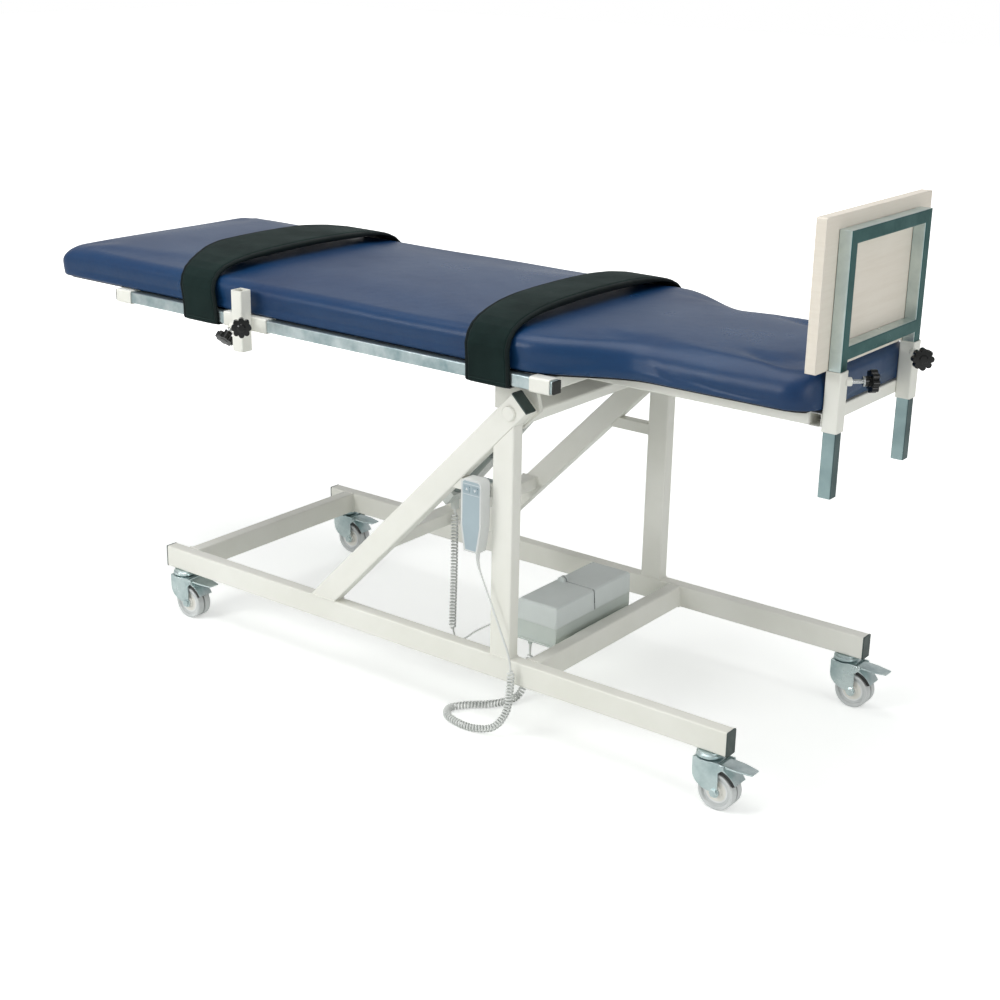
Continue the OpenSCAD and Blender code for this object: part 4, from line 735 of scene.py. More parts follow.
def knob_material(name, start, axis, stem_length):
    """Black plastic with a moulded gloss; nearer the start than the stem's length it is bright steel."""
    material, tree, shader = new_material(name)
    tone = placed(tree, uneven_tone, light_tone=KNOB_BLACK, dark_tone=(0.003, 0.004, 0.004),
                  cloud_scale=30.0, ripple_scale=300.0)
    rim = placed(tree, soft_edge, radius=0.0016)
    reach = placed(tree, reach_from_start, start=start, axis=axis)
    stem = stepped(tree, reach["Along"], stem_length + STEM_SOFT, stem_length)
    thread = calc(tree, "SINE", calc(tree, "MULTIPLY", reach["Along"], THREAD_RATE))
    height = calc(tree, "ADD", calc(tree, "MULTIPLY", tone["Ripple"], MOULD_SHARE),
                  calc(tree, "MULTIPLY", thread, stem))
    threaded = bumped(tree, height, THREAD_DEPTH, rim["Normal"])
    hub = stepped(tree, reach["Away"], *HUB_EDGE)
    bowed = calc(tree, "MULTIPLY", calc(tree, "MULTIPLY", reach["Away"], reach["Away"]), -KNOB_BOW)
    dished = bumped(tree, calc(tree, "ADD", hub, bowed), HUB_HIGH, threaded)
    feed(tree, shader, Base_Color=blended(tree, stem, tone["Color"], STEM_BRIGHT), Metallic=stem,
         Roughness=roughened(tree, tone["Mask"], rough=0.12, swing=0.08), Normal=dished,
         Specular_IOR_Level=0.35)
    return material


KNOB_RADIUS = 0.021
KNOB_THICK = 0.012
KNOB_NECK = 0.010
for knob_name, knob_axis in (("foot_knob_front", (1, 1, 0)), ("foot_knob_rear", (1, -1, 0)),
                             ("clamp_knob_rail", (0, -1, -1)), ("clamp_knob_socket", (1, -1, 0))):
    knob_low, knob_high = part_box(knob_name)
    knob_way = Vector(knob_axis).normalized()
    knob_middle = (knob_low + knob_high) / 2
    half_run = abs((knob_high.y - knob_low.y) / 2 / knob_way.y)
    knob_end = knob_middle + knob_way * (half_run - KNOB_RADIUS)
    stem_start = knob_middle - knob_way * half_run
    stem = (knob_end - stem_start).length - KNOB_THICK - KNOB_NECK
    dress(knob_material(knob_name + "_finish", stem_start, knob_way, stem), knob_name)

# Cushion
# Foam on a board under tight navy vinyl: flat bottom, sides drawn in a little, a crowned top. The
# trunk part has upright sides and a firm edge that softens towards the rolled head end; the leg
# part is narrower and slopes in a wider curve. Blown up a little as cloth, the cover gets its swell.
cushion_low, cushion_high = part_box("cushion")
TRUNK_HALF = (cushion_high.y - cushion_low.y) / 2
LEG_HALF = 0.216
WAIST_START = 1.010
WAIST_END = 1.240
EDGE_HEIGHT = 0.068
CROWN = 0.0050
CROWN_RUN = 0.120
HEAD_ROLL = 0.044
HEAD_LIP = 0.037
HEAD_CORNER = 0.035
HEAD_ROUND_MORE = 0.042
HEAD_ROUND_RUN = 0.130
FOOT_ROLL = 0.026
FOOT_LIP = 0.046
FOOT_CORNER = 0.062
TRUNK_ROUND = 0.026
LEG_ROUND = 0.046
LOW_ROUND = 0.007
DRAW_IN = 0.003
SHOULDER_SHARE = 0.85
FLAT_STEPS = 14
LOW_STEPS = 4
SIDE_STEPS = 5
SHOULDER_STEPS = 9
CROWN_STEPS = 22
END_RUN = 0.08
END_ROWS = 20
MIDDLE_ROWS = 150
WAVE_ALONG = 9.1
WAVE_ACROSS = 7.3
WAVE_STARTS = (1.3, 0.6)
OBLIQUE_WAVE = (17.0, 11.0)
OBLIQUE_SHARE = 0.6
WAVE_DEPTH = 0.0009
WAVE_HEIGHT = 0.03
WAVE_EASE = 0.04
PUCKER = 0.0016
FOLD_PITCH = 0.047
FOLD_SLANT = 60.0
FOLD_REACH = 0.07
FOLD_OUT = 0.13
FOLD_OUT_EASE = 0.09
FOLD_LOW = 0.02
FOLD_FADE = 0.05
VINYL = (0.004, 0.030, 0.098)
VINYL_PALE = (0.008, 0.050, 0.138)
GRAIN_DARK = (0.006, 0.014, 0.04)
GRAIN_DARK_SHARE = 0.35
GRAIN_SCALE = 620.0
GRAIN_BORDER = 0.22
GRAIN_DEPTH = 0.00010
GRAIN_DRIFT = 0.004
GRAIN_DRIFT_SCALE = 90.0
SLOW_DEPTH = 0.0005
VINYL_MARKS = 0.3


def quarter_arc(distance, radius):
    """How far a quarter circle of that radius stands back at a distance from its open end."""
    inside = np.clip(radius - distance, 0, radius)
    return radius - np.sqrt(radius * radius - inside * inside)


def cushion_surface(x):
    """Rings round the cushion, one per place along the table, from the middle underneath.

    Half width and edge height follow the waist and the rounded ends. A ring runs flat underneath,
    round a small low corner, up the drawn-in side, round a shoulder that is widest at the head end
    and grows at the waist, and over the crown, a parabola across that eases in from both ends.
    """
    head = x - cushion_low.x
    foot = cushion_high.x - x
    waist = smooth((x - base_start.x - WAIST_START) / (WAIST_END - WAIST_START))
    half = TRUNK_HALF + (LEG_HALF - TRUNK_HALF) * waist
    half = half - quarter_arc(head, HEAD_CORNER) - quarter_arc(foot, FOOT_CORNER)
    top = EDGE_HEIGHT - quarter_arc(head, HEAD_ROLL) / HEAD_ROLL * (EDGE_HEIGHT - HEAD_LIP)
    top = top - quarter_arc(foot, FOOT_ROLL) / FOOT_ROLL * (EDGE_HEIGHT - FOOT_LIP)
    deep = np.minimum(TRUNK_ROUND + (LEG_ROUND - TRUNK_ROUND) * waist, (top - LOW_ROUND) * SHOULDER_SHARE)
    wide = deep + HEAD_ROUND_MORE * (1 - smooth(head / HEAD_ROUND_RUN))
    crown = CROWN * smooth(head / CROWN_RUN) * smooth(foot / CROWN_RUN)
    low_turn = np.radians(np.linspace(-90, 0, LOW_STEPS))[None, :]
    turn = np.radians(np.linspace(0, 90, SHOULDER_STEPS))[None, :]
    flat = np.linspace(0, 1, FLAT_STEPS, endpoint=False)[None, :]
    rise = np.linspace(0, 1, SIDE_STEPS)[None, 1:-1]
    over = np.linspace(1, 0, CROWN_STEPS)[None, 1:]
    half, top, deep, wide, crown = (v[:, None] for v in (half, top, deep, wide, crown))
    side_low = half - DRAW_IN
    tuck = DRAW_IN * np.sin(np.pi * 0.5 * rise)
    plateau = half - wide
    y = np.hstack([flat * (side_low - LOW_ROUND), side_low - LOW_ROUND + LOW_ROUND * np.cos(low_turn),
                   side_low + tuck, plateau + wide * np.cos(turn), plateau * over])
    z = np.hstack([0 * half + 0 * flat, 0 * half + LOW_ROUND + LOW_ROUND * np.sin(low_turn),
                   LOW_ROUND + (top - deep - LOW_ROUND) * rise, top - deep + deep * np.sin(turn),
                   top + crown * (1 - over * over)])
    y = np.hstack([y, -y[:, -2:0:-1]])
    z = np.hstack([z, z[:, -2:0:-1]])
    place = np.broadcast_to(x[:, None], y.shape)
    return np.stack([place, base_start.y + y, cushion_low.z + z], axis=-1)


def pulled(points):
    """The vinyl's unevenness: shallow waves on the top, and short folds that fan out at the waist.

    The waves are slow sines. A fold is a faster sine of the place along the table, strongest low on
    the side where the waist ends, and it fades upwards and away from there.
    """
    x, y, z = (points[..., k] for k in range(3))
    wave = np.sin(WAVE_ALONG * x + WAVE_STARTS[0]) * np.sin(WAVE_ACROSS * y + WAVE_STARTS[1])
    wave = wave + OBLIQUE_SHARE * np.sin(OBLIQUE_WAVE[0] * x + OBLIQUE_WAVE[1] * y)
    rise = z - cushion_low.z
    upper = smooth((rise - WAVE_HEIGHT) / WAVE_EASE)
    near = np.exp(-((x - base_start.x - WAIST_END) / FOLD_REACH) ** 2)
    outer = smooth((np.abs(y - base_start.y) - FOLD_OUT) / FOLD_OUT_EASE)
    lower = smooth(rise / FOLD_LOW) * (1 - smooth((rise - FOLD_LOW) / FOLD_FADE))
    fold = np.sin(2 * np.pi * x / FOLD_PITCH + FOLD_SLANT * rise) * near * outer * lower
    way = np.sign(y - base_start.y)
    return points + np.stack([0 * x, PUCKER * fold * way, WAVE_DEPTH * wave * upper], axis=-1)


end_share = np.linspace(0, 1, END_ROWS, endpoint=False)
head_stations = cushion_low.x + END_RUN * (1 - np.cos(0.5 * np.pi * end_share))
foot_stations = cushion_high.x - END_RUN * (1 - np.cos(0.5 * np.pi * end_share[::-1]))
middle_stations = np.linspace(cushion_low.x + END_RUN, cushion_high.x - END_RUN, MIDDLE_ROWS,
                              endpoint=False)
stations = np.concatenate([head_stations, middle_stations, foot_stations])
cushion = grid_piece("cushion_cover", [pulled(cushion_surface(stations))], ring=True, capped=True)
SWELL_CAP = 0.005
SWELL_FADE = 0.15
TINY_SHARE = 0.0001
STAPLED_HEIGHT = 0.010
SWELL_PRESSURE = 4.0
SWELL_FRAMES = 20


def points_of(mesh):
    """The places of a mesh's vertices, one row each."""
    places = np.zeros(3 * len(mesh.vertices))
    mesh.vertices.foreach_get("co", places)
    return places.reshape(-1, 3)


def swollen(piece):
    """Blows the cover up from inside as cloth, and moves its points to where the cloth went.

    Gravity is off and the cloth is held below the stapled height. No point moves past the cap, and
    the move fades towards the firm head and foot ends.
    """
    scene = bpy.context.scene
    start = points_of(piece.data)
    trial = bpy.data.objects.new("swelling_cover", piece.data.copy())
    scene.collection.objects.link(trial)
    stapled = np.nonzero(start[:, 2] < cushion_low.z + STAPLED_HEIGHT)[0]
    trial.vertex_groups.new(name="stapled").add(stapled.tolist(), 1.0, "REPLACE")
    cloth = trial.modifiers.new("swelling", "CLOTH")
    cloth.settings.vertex_group_mass = "stapled"
    cloth.settings.use_pressure = True
    cloth.settings.uniform_pressure_force = SWELL_PRESSURE
    cloth.settings.effector_weights.gravity = 0
    cloth.collision_settings.use_collision = False
    for step in range(1, SWELL_FRAMES + 1):
        scene.frame_set(step)
    blown = trial.evaluated_get(bpy.context.evaluated_depsgraph_get())
    move = points_of(blown.data) - start
    length = np.linalg.norm(move, axis=1)
    from_end = np.minimum(start[:, 0] - cushion_low.x, cushion_high.x - start[:, 0])
    kept = np.minimum(length, SWELL_CAP) / np.maximum(length, SWELL_CAP * TINY_SHARE)
    move *= (kept * smooth(from_end / SWELL_FADE))[:, None]
    piece.data.vertices.foreach_set("co", (start + move).ravel())
    piece.data.update()
    bpy.data.objects.remove(trial)
    scene.frame_set(1)


swollen(cushion)


def leather_group():
    """Embossed leather grain: small uneven cells with sunk borders, out as a height and a mask."""
    group, given, out = new_group("leather_grain", [("Cell Scale", "Float", 650.0)],
                                  [("Height", "Float"), ("Mask", "Float")])
    place = own_place(group)
    drift = noise(group, place, GRAIN_DRIFT_SCALE, detail=2.0)["Color"]
    moved = wired(group, "VectorMath", [(0, drift), (1, (GRAIN_DRIFT,) * 3), (2, place)],
                  operation="MULTIPLY_ADD").outputs["Vector"]
    cells = wired(group, "TexVoronoi", [("Vector", moved), ("Scale", given["Cell Scale"])],
                  feature="DISTANCE_TO_EDGE")
    border = stepped(group, cells.outputs["Distance"], 0.0, GRAIN_BORDER)
    group.links.new(border, out["Height"])
    group.links.new(calc(group, "SUBTRACT", 1.0, border), out["Mask"])
    return group


def vinyl_material():
    """Navy upholstery vinyl: embossed leather grain, slow colour drift, a soft gloss with dull spots."""
    material, tree, shader = new_material("navy_vinyl")
    tone = placed(tree, uneven_tone, light_tone=VINYL_PALE, dark_tone=VINYL, cloud_scale=2.2,
                  ripple_scale=46.0)
    grain = placed(tree, leather_group(), cell_scale=GRAIN_SCALE)
    worn = placed(tree, handling_marks, scale=21.0, amount=0.10)
    grained_vinyl = bumped(tree, grain["Height"], GRAIN_DEPTH, strength=0.6)
    rough = calc(tree, "ADD", roughened(tree, tone["Mask"], rough=0.26, swing=0.10),
                 calc(tree, "MULTIPLY", worn["Mask"], VINYL_MARKS))
    dark_lines = calc(tree, "MULTIPLY", grain["Mask"], GRAIN_DARK_SHARE)
    feed(tree, shader, Base_Color=blended(tree, dark_lines, tone["Color"], GRAIN_DARK), Roughness=rough,
         Normal=bumped(tree, tone["Ripple"], SLOW_DEPTH, grained_vinyl), Specular_IOR_Level=0.32)
    return material


cushion.data.materials.append(vinyl_material())
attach(cushion, "table")
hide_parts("cushion")

# Board under the cushion
# Plywood wrapped underneath in a thin dark dust cloth, stapled inside the cushion's rim.
dust_cloth = finish_material("dust_cloth", (0.016, 0.018, 0.024), (0.010, 0.011, 0.016),
                             (0.022, 0.025, 0.032), rough=0.80, swing=0.12, ripple=1300.0, depth=0.0002,
                             rim=0.001)
dress(dust_cloth, "top_board")

# Straps
# Wide padded straps of dark green coated cloth, bound along both edges with tape and hooked round
# the side rails. Two raised rows of stitching cross each side where the padding ends.
STRAP_THICK = 0.006
STRAP_SIDE_WIDTH = 0.106
PAD_WIDTHS = (0.176, 0.118)
STRAP_LIFT = 0.032
STRAP_TURN = 0.0034
STRAP_END = 0.007
PAD_RUN = 1.6
SIDE_LEAN_SHARE = 0.5
PAD_THICK_MORE = 0.0050
SIDE_THICK_MORE = 0.0016
BINDING_SHARE = 0.86
BINDING_SUNK = 0.22
BINDING_WIDTH = 0.035
OVAL_ACROSS = 0.30
OVAL_RISE = 0.62
HUNG_RUN = 0.03
RAIL_GAP = 0.0004
STRAP_ROWS = 150
STRAP_SIDES = 60
TURN_STEPS = 7
CROSS_SEAM_RUN = 0.054
STRAP_SHARES = [(0, 1), (0.2, 0.98), (0.4, 0.92), (0.6, 0.8), (0.74, 0.62), (0.84, 0.4), (0.91, 0.1),
                (0.96, -0.35), (0.99, -0.9)]
chest_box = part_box("chest_strap")
thigh_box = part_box("thigh_strap")
rail_low, rail_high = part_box("side_rail_rear")
strap_out = (chest_box[1].y - chest_box[0].y) / 2 - STRAP_THICK / 2
rail_mid_y = (rail_low.y + rail_high.y) / 2 - base_start.y
rail_mid_z = (rail_low.z + rail_high.z) / 2
rail_half = (rail_high.z - rail_low.z) / 2
cushion_rim = cushion_low.z + EDGE_HEIGHT


def strap_line(count):
    """Half of a strap's middle line in y and z, sampled evenly.

    It runs over the cushion's shoulder, down outside the rail, round under it and up a little inside.
    """
    over_top = [(s * strap_out, cushion_rim + lift * STRAP_LIFT) for s, lift in STRAP_SHARES]
    under = rail_mid_z - rail_half - RAIL_GAP - STRAP_THICK / 2 + STRAP_TURN
    turn = np.radians(np.linspace(0, 90, TURN_STEPS))
    outer = [(strap_out - STRAP_TURN + STRAP_TURN * math.cos(a), under - STRAP_TURN * math.sin(a))
             for a in turn]
    inner_y = 2 * rail_mid_y - strap_out
    inner = [(inner_y + STRAP_TURN - STRAP_TURN * math.cos(a), under - STRAP_TURN * math.sin(a))
             for a in turn[::-1]]
    points = np.array(over_top + [(strap_out, rail_mid_z + rail_half), (strap_out, rail_mid_z)]
                      + outer + inner + [(inner_y, rail_mid_z + STRAP_END)])
    return at_runs(points, np.linspace(0, run_along(points)[-1], count))


def strap_grid(rail_x, pad_x, pad_width):
    """Rings round a strap, and each point's share across with its run along.

    At each point of the line a flat oval, full in the padded middle and flat at the sides. The width
    eases from the side's to the pad's, and the pad lies nearer the head end than the rail's hook:
    half of that lean comes with height, half with nearness to the middle.
    """
    half_line = strap_line(STRAP_ROWS)
    line = np.vstack([half_line[:0:-1] * [-1, 1], half_line])
    tangent = unit(np.gradient(line, axis=0))
    normal = np.stack([-tangent[:, 1], tangent[:, 0]], axis=1)
    nearness = smooth(PAD_RUN * (1 - np.abs(line[:, 0]) / strap_out))
    height = smooth((line[:, 1] - rail_mid_z) / (cushion_rim + STRAP_LIFT - rail_mid_z))
    middle = rail_x + (pad_x - rail_x) * (SIDE_LEAN_SHARE * height + (1 - SIDE_LEAN_SHARE) * nearness)
    width = STRAP_SIDE_WIDTH + (pad_width - STRAP_SIDE_WIDTH) * nearness
    hung = smooth((line[:, 1] - rail_mid_z - rail_half) / HUNG_RUN)
    fuller = (SIDE_THICK_MORE + (PAD_THICK_MORE - SIDE_THICK_MORE) * nearness) * hung
    angle = -np.linspace(0, 2 * np.pi, STRAP_SIDES, endpoint=False)[None, :]
    share = np.sign(np.cos(angle)) * np.abs(np.cos(angle)) ** OVAL_ACROSS
    rise = np.sign(np.sin(angle)) * np.abs(np.sin(angle)) ** OVAL_RISE
    quilt = 1 - BINDING_SUNK * np.exp(-((np.abs(share) - BINDING_SHARE) / BINDING_WIDTH) ** 2)
    out_thick = STRAP_THICK / 2 + fuller[:, None]
    in_thick = STRAP_THICK / 2 + (fuller * nearness)[:, None]
    out = np.where(rise > 0, out_thick, in_thick) * rise * quilt
    x = middle[:, None] + share * 0.5 * width[:, None]
    y = base_start.y + line[:, :1] + out * normal[:, :1]
    z = line[:, 1:] + out * normal[:, 1:]
    run = run_along(line) - run_along(line)[-1] / 2
    marks = np.stack([np.broadcast_to(share, x.shape), np.broadcast_to(run[:, None], x.shape)], axis=-1)
    return np.stack([x, y, z], axis=-1), marks


ROW_SHARE = 0.84
STITCH = 0.0045
STITCH_ON = 0.72
ROW_THREAD = (0.012, 0.006)
ROW_SUNK = 0.035
PAIR_HALF = 0.0045
PAIR_THREAD = (0.0008, 0.0004)
PAIR_SUNK = 0.0028
THREAD_HIGH = 0.4
WEAVE_RATE = 5200.0
WEAVE_DEPTH = 0.00016
SEAM_DEPTH = 0.0016
CLOTH_GREEN = (0.005, 0.018, 0.016)
CLOTH_DARK = (0.003, 0.011, 0.010)
BINDING_DARK = (0.004, 0.009, 0.009)
THREAD_GREEN = (0.016, 0.034, 0.031)


def stitch_group():
    """Rows of stitches: dashes along the edges at a share across, and pairs across at a run along.

    Out come where the thread lies, and a height with the cloth sunk beside it.
    """
    group, given, out = new_group(
        "stitch_rows",
        [("Row Share", "Float", ROW_SHARE), ("Cross Run", "Float", 0.3), ("Stitch", "Float", STITCH)],
        [("Thread", "Float"), ("Height", "Float"), ("Border", "Float")])
    parts = parts_of(group, wired(group, "UVMap").outputs["UV"])
    share = calc(group, "ABSOLUTE", parts["X"])
    run = calc(group, "ABSOLUTE", parts["Y"])
    along = calc(group, "ABSOLUTE", calc(group, "SUBTRACT", share, given["Row Share"]))
    dash = calc(group, "FRACT", calc(group, "DIVIDE", run, given["Stitch"]))
    on = calc(group, "LESS_THAN", dash, STITCH_ON)
    edge_thread = calc(group, "MULTIPLY", stepped(group, along, *ROW_THREAD), on)
    edge_sunk = stepped(group, along, ROW_SUNK, 0.0)
    from_pair = calc(group, "ABSOLUTE", calc(group, "SUBTRACT", run, given["Cross Run"]))
    from_row = calc(group, "ABSOLUTE", calc(group, "SUBTRACT", from_pair, PAIR_HALF))
    inside = calc(group, "LESS_THAN", share, given["Row Share"])
    cross_thread = calc(group, "MULTIPLY", stepped(group, from_row, *PAIR_THREAD), inside)
    cross_sunk = calc(group, "MULTIPLY", stepped(group, from_row, PAIR_SUNK, 0.0), inside)
    thread = calc(group, "MAXIMUM", edge_thread, cross_thread)
    sunk = calc(group, "MAXIMUM", edge_sunk, cross_sunk)
    group.links.new(thread, out["Thread"])
    raised = calc(group, "MULTIPLY", thread, THREAD_HIGH)
    group.links.new(calc(group, "SUBTRACT", raised, sunk), out["Height"])
    group.links.new(calc(group, "GREATER_THAN", share, given["Row Share"]), out["Border"])
    return group


def strap_material(cross_run):
    """Dark green coated cloth: a fine weave from two crossed waves, stitch rows and bound edges."""
    material, tree, shader = new_material("strap_cloth")
    tone = placed(tree, uneven_tone, light_tone=CLOTH_GREEN, dark_tone=CLOTH_DARK, cloud_scale=9.0,
                  ripple_scale=1500.0)
    rows = placed(tree, stitch_group(), row_share=ROW_SHARE, cross_run=cross_run, stitch=STITCH)
    parts = parts_of(tree, own_place(tree))
    warp = calc(tree, "SINE", calc(tree, "MULTIPLY", parts["X"], WEAVE_RATE))
    upward = calc(tree, "ADD", parts["Y"], parts["Z"])
    weft = calc(tree, "SINE", calc(tree, "MULTIPLY", upward, WEAVE_RATE))
    weave = calc(tree, "ADD", calc(tree, "MULTIPLY", warp, weft), tone["Ripple"])
    woven = bumped(tree, weave, WEAVE_DEPTH, strength=0.7)
    colour = blended(tree, rows["Border"], tone["Color"], BINDING_DARK)
    feed(tree, shader, Base_Color=blended(tree, rows["Thread"], colour, THREAD_GREEN),
         Normal=bumped(tree, rows["Height"], SEAM_DEPTH, woven),
         Roughness=roughened(tree, tone["Mask"], rough=0.52, swing=0.14), Specular_IOR_Level=0.09,
         Sheen_Weight=0.02, Sheen_Roughness=0.5)
    return material


half_reach = run_along(strap_line(STRAP_ROWS))[-1]
strap_cloth = strap_material(half_reach - CROSS_SEAM_RUN)
STRAPS = (("chest_strap_pad", "chest_strap", chest_box, PAD_WIDTHS[0]),
          ("thigh_strap_pad", "thigh_strap", thigh_box, PAD_WIDTHS[1]))
for strap_name, node, (low, high), pad_width in STRAPS:
    strap_points, strap_marks = strap_grid(high.x - STRAP_SIDE_WIDTH / 2, low.x + pad_width / 2, pad_width)
    strap = grid_piece(strap_name, [strap_points], ring=True, capped=True, marks=strap_marks)
    strap.data.materials.append(strap_cloth)
    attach(strap, "table")
    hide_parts(node)

# Footboard
# A laminated board, cream on both faces with a faint printed grain, bolted to the plated frame that
# its two legs belong to.
BOARD_CREAM = (0.80, 0.745, 0.655)
BOARD_GRAIN = (0.70, 0.635, 0.535)
GRAIN_STRETCH = (1.0, 1.6, 26.0)
GRAIN_BANDS = (0.42, 0.70)
GRAIN_SHARE = 0.45


def grained(tree, colour):
    """Adds the laminate's printed grain: fine bands across the board, bent by slow noise."""
    drawn = wired(tree, "VectorMath", [(0, own_place(tree)), (1, GRAIN_STRETCH)],
                  operation="MULTIPLY").outputs["Vector"]
    bands = stepped(tree, noise(tree, drawn, 4.0, detail=6.0, Roughness=0.7)["Fac"], *GRAIN_BANDS)
    return blended(tree, calc(tree, "MULTIPLY", bands, GRAIN_SHARE), colour, BOARD_GRAIN)


laminate = finish_material("cream_laminate", BOARD_CREAM, (0.77, 0.71, 0.62), (0.84, 0.80, 0.73),
                           rough=0.34, clouds=5.0, ripple=700.0, rim=0.0022, tint=grained)
dress(laminate, "footboard")

# Control box
# Two moulded grey-green halves with a fine spark-eroded surface, screwed together from below. The
# lid is a shade lighter, and a narrow band along its groove is darker.
BOX_GREY = (0.60, 0.66, 0.62)
LID_GREY = (0.68, 0.73, 0.715)
lid_low, lid_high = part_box("control_lid")
GROOVE_HALF = 0.0021
# The dark tone that the groove's narrow band is mixed towards.
GROOVE_DARK = (0.12, 0.14, 0.14)
GROOVE_SHARE = 0.75
lid_middle_y = (lid_low.y + lid_high.y) / 2


def grooved(tree, colour):
    """Darkens the lid's groove: a narrow band on its middle, below the faces beside it."""
    across = parts_of(tree, own_place(tree))["Y"]
    off = calc(tree, "ABSOLUTE", calc(tree, "SUBTRACT", across, lid_middle_y))
    inside = calc(tree, "LESS_THAN", off, GROOVE_HALF)
    return blended(tree, calc(tree, "MULTIPLY", inside, GROOVE_SHARE), colour, GROOVE_DARK)


box_plastic = finish_material("box_plastic", BOX_GREY, (0.55, 0.61, 0.575), (0.70, 0.75, 0.72),
                              rough=0.36, swing=0.08, clouds=8.0, ripple=1200.0, depth=0.00005, rim=0.0018)
lid_plastic = finish_material("lid_plastic", LID_GREY, (0.63, 0.68, 0.665), (0.77, 0.81, 0.80),
                              rough=0.34, swing=0.08, clouds=8.0, ripple=1200.0, depth=0.00005, rim=0.0022,
                              tint=grooved)
dress(box_plastic, "control_base")
dress(lid_plastic, "control_lid")

# Actuator
# A die-cast gear housing and a painted motor can; the outer tube is drawn and clear lacquered, the
# rod ground and polished along its length.
cast_housing = finish_material("cast_housing", (0.56, 0.59, 0.56), (0.49, 0.52, 0.49),
                               (0.66, 0.69, 0.67), rough=0.38, clouds=8.0, ripple=420.0, depth=0.00010,
                               rim=0.0018)
motor_paint = finish_material("motor_paint", (0.21, 0.245, 0.23), (0.165, 0.195, 0.185),
                              (0.32, 0.35, 0.34), rough=0.32, clouds=8.0, rim=0.0015)
drawn_tube = finish_material("drawn_tube", (0.72, 0.73, 0.72), (0.60, 0.62, 0.61),
                             (0.82, 0.83, 0.82), rough=0.24, clouds=10.0, depth=0.00001, rim=0.001,
                             metallic=0.9)
polished_rod = finish_material("polished_rod", (0.78, 0.80, 0.81), (0.70, 0.72, 0.73),
                               (0.86, 0.88, 0.89), rough=0.12, swing=0.08, clouds=14.0, ripple=1600.0,
                               depth=0.00001, rim=0.0008, metallic=1.0, marks=0.8)
dress(cast_housing, "actuator_housing")
dress(motor_paint, "actuator_motor")
dress(drawn_tube, "actuator_tube")
dress(polished_rod, "actuator_rod")

# Handset
# Light grey shell with a blue-grey face; a thin raised frame surrounds the two keys, and each key
# carries a raised arrow for its way.
FACE_BLUE = (0.38, 0.47, 0.51)
KEY_BLUE = (0.31, 0.395, 0.44)
BAND_RADIUS = 0.0005
BAND_CORNER = 0.004
BAND_MARGIN = 0.0035
BAND_STEPS = 8
BAND_SIDES = 10
ARROW_HALF = 0.0036
ARROW_RISE = 0.0004
shell_plastic = finish_material("handset_plastic", (0.68, 0.70, 0.69), (0.62, 0.64, 0.63),
                                (0.76, 0.78, 0.77), rough=0.30, swing=0.06, ripple=1400.0, rim=0.002)
face_plastic = finish_material("handset_face_plastic", FACE_BLUE, (0.345, 0.43, 0.47),
                               (0.46, 0.55, 0.59), rough=0.36, swing=0.06, ripple=1400.0, rim=0.001)
key_plastic = finish_material("key_plastic", KEY_BLUE, (0.28, 0.365, 0.41), (0.39, 0.48, 0.53),
                              rough=0.42, swing=0.06, clouds=30.0, ripple=1400.0, rim=0.001)
arrow_plastic = finish_material("key_arrow_plastic", (0.70, 0.73, 0.74), (0.64, 0.67, 0.68),
                                (0.76, 0.79, 0.80), rough=0.40, swing=0.06, clouds=40.0, ripple=1500.0,
                                depth=0.00002, rim=0.0004)
dress(shell_plastic, "handset_shell")
dress(face_plastic, "handset_face")
dress(key_plastic, "handset_button_up", "handset_button_down")
key_low, key_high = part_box("handset_button_up")
key_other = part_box("handset_button_down")
face_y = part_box("handset_face")[0].y
band_low_x = min(key_low.x, key_other[0].x) - BAND_MARGIN + BAND_CORNER
band_high_x = max(key_high.x, key_other[1].x) + BAND_MARGIN - BAND_CORNER
band_low_z = key_low.z - BAND_MARGIN + BAND_CORNER
band_high_z = key_high.z + BAND_MARGIN - BAND_CORNER
quarter = np.radians(np.linspace(0, 90, BAND_STEPS))
band_turn = np.concatenate([quarter + k * np.pi / 2 for k in range(4)])
band_x = (np.repeat([band_high_x, band_low_x, band_low_x, band_high_x], BAND_STEPS)
          + BAND_CORNER * np.cos(band_turn))
band_z = (np.repeat([band_high_z, band_high_z, band_low_z, band_low_z], BAND_STEPS)
          + BAND_CORNER * np.sin(band_turn))
band_circle = np.linspace(0, 2 * np.pi, BAND_SIDES, endpoint=False)[None, :]
band_rings = np.stack([
    band_x[:, None] + BAND_RADIUS * np.cos(band_circle) * np.cos(band_turn)[:, None],
    np.broadcast_to(face_y - BAND_RADIUS * np.sin(band_circle), (len(band_x), BAND_SIDES)),
    band_z[:, None] + BAND_RADIUS * np.cos(band_circle) * np.sin(band_turn)[:, None]], axis=-1)
key_band = grid_piece("handset_key_band", [band_rings[:, ::-1]], ring=True, looped=True)
key_band.data.materials.append(arrow_plastic)
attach(key_band, "base")


def key_arrow(name, low, high, way, body):
    """A thin raised three-cornered arrow in the middle of a key's face, pointing up or down."""
    middle_x = (low.x + high.x) / 2
    middle_z = (low.z + high.z) / 2
    turns = np.radians([90, 210, 330])[::way]
    x = middle_x + ARROW_HALF * np.cos(turns)
    z = middle_z + way * ARROW_HALF * np.sin(turns)
    layers = [np.stack([x, np.full(3, y), z], axis=-1) for y in (low.y + ARROW_RISE, low.y - ARROW_RISE)]
    piece = grid_piece(name, [np.stack(layers)], ring=True, capped=True)
    piece.data.shade_flat()
    piece.data.materials.append(arrow_plastic)
    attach(piece, body)


key_arrow("key_arrow_up", key_low, key_high, 1, "key_up_body")
key_arrow("key_arrow_down", key_other[0], key_other[1], -1, "key_down_body")

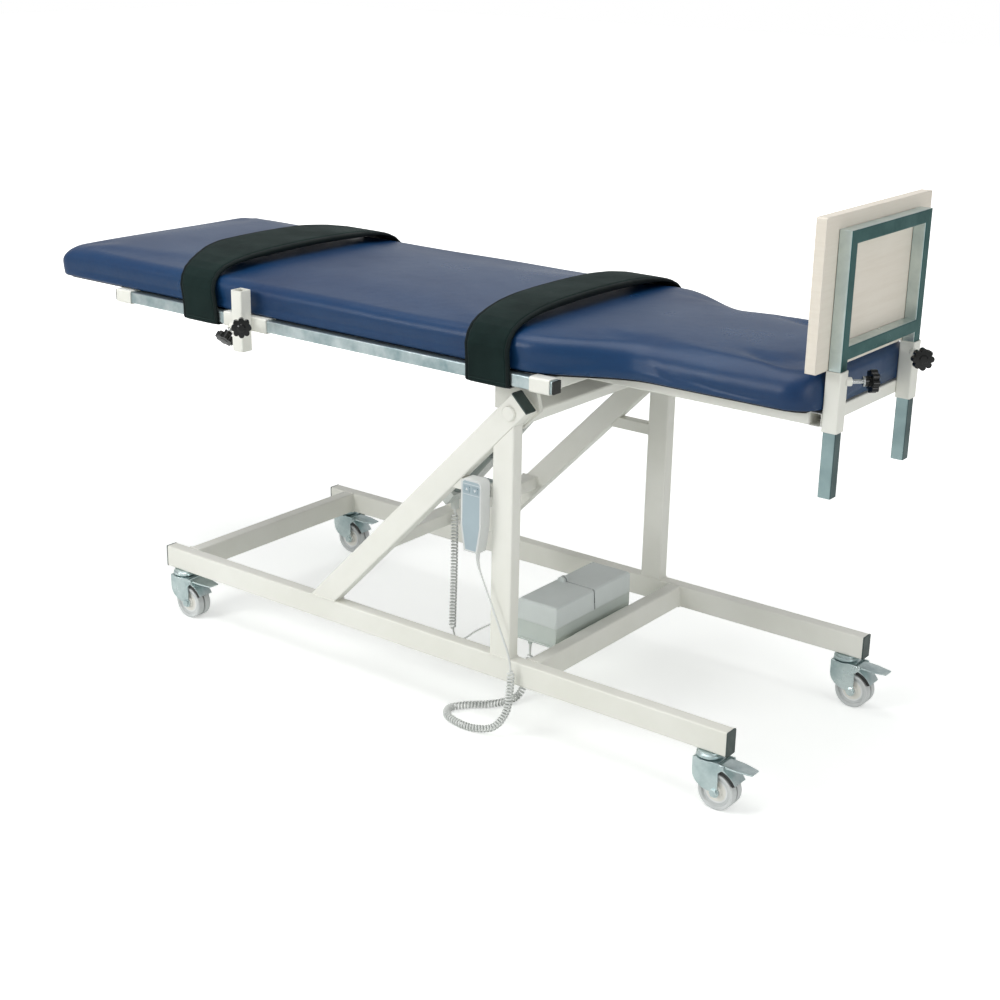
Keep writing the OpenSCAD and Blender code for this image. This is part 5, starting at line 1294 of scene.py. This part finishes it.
sheath = finish_material("cord_sheath", (0.70, 0.72, 0.70), (0.63, 0.65, 0.63),
                         (0.78, 0.80, 0.78), rough=0.34, swing=0.06, clouds=20.0, depth=0.00001,
                         rim=0.0004)
for cord_piece in (handset_cord, motor_cord, *handset_sleeves, *motor_sleeves):
    cord_piece.data.materials.append(sheath)

# Casters
# Twin-wheel casters: pressed zinc-plated forks on a ball race, cream moulded wheels with a bright
# rim ring and light grey non-marking treads, and a plated brake lever with a black moulded shoe.
HUB_OUT = 0.0205
RING_OUT = 0.0235
SHOE_OUT = 0.0485
HUB_CREAM = (0.80, 0.79, 0.735)
RING_BRIGHT = (0.80, 0.81, 0.80)
TREAD_GREY = (0.64, 0.66, 0.655)
SHOE_BLACK = (0.014, 0.015, 0.015)
RING_SOFT = 0.0006
TREAD_SOFT = 0.0008
PEDAL_METAL = 0.92


def wheel_material(name, axle):
    """Cream hub, bright ring and grey tread by distance from the axle, on the treads' own finish."""
    def zoned(tree, colour):
        away = placed(tree, reach_from_start, start=axle, axis=(0, 1, 0))["Away"]
        inner = blended(tree, stepped(tree, away, HUB_OUT, HUB_OUT + RING_SOFT), HUB_CREAM, RING_BRIGHT)
        return blended(tree, stepped(tree, away, RING_OUT, RING_OUT + TREAD_SOFT), inner, colour)

    return finish_material(name, TREAD_GREY, (0.56, 0.585, 0.585), (0.74, 0.76, 0.755), rough=0.40,
                           swing=0.16, clouds=26.0, depth=0.00004, rim=0.001, marks=0.9, edge_share=0.3,
                           tint=zoned)


def pedal_material(name, axle):
    """Black moulded shoe near the wheel and bright plated lever beyond it."""
    material, tree, shader = new_material(name)
    tone = placed(tree, uneven_tone, light_tone=(0.68, 0.77, 0.77), dark_tone=(0.42, 0.52, 0.53),
                  cloud_scale=24.0, ripple_scale=900.0)
    rim = placed(tree, soft_edge, radius=0.001)
    away = placed(tree, reach_from_start, start=axle, axis=(0, 1, 0))["Away"]
    shoe = stepped(tree, away, SHOE_OUT, SHOE_OUT - RING_SOFT)
    feed(tree, shader, Base_Color=blended(tree, shoe, tone["Color"], SHOE_BLACK),
         Metallic=calc(tree, "MULTIPLY_ADD", shoe, -PEDAL_METAL, PEDAL_METAL),
         Roughness=roughened(tree, tone["Mask"], rough=0.26, swing=0.15),
         Normal=bumped(tree, tone["Ripple"], 0.00003, rim["Normal"]))
    return material


for corner_name in ("hf", "hr", "ff", "fr"):
    wheel_low, wheel_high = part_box("caster_wheels_" + corner_name)
    axle_place = (wheel_low + wheel_high) / 2
    dress(zinc, "caster_fork_" + corner_name)
    dress(wheel_material("caster_wheel_" + corner_name, axle_place), "caster_wheels_" + corner_name)
    dress(pedal_material("caster_brake_" + corner_name, axle_place), "caster_pedal_" + corner_name)
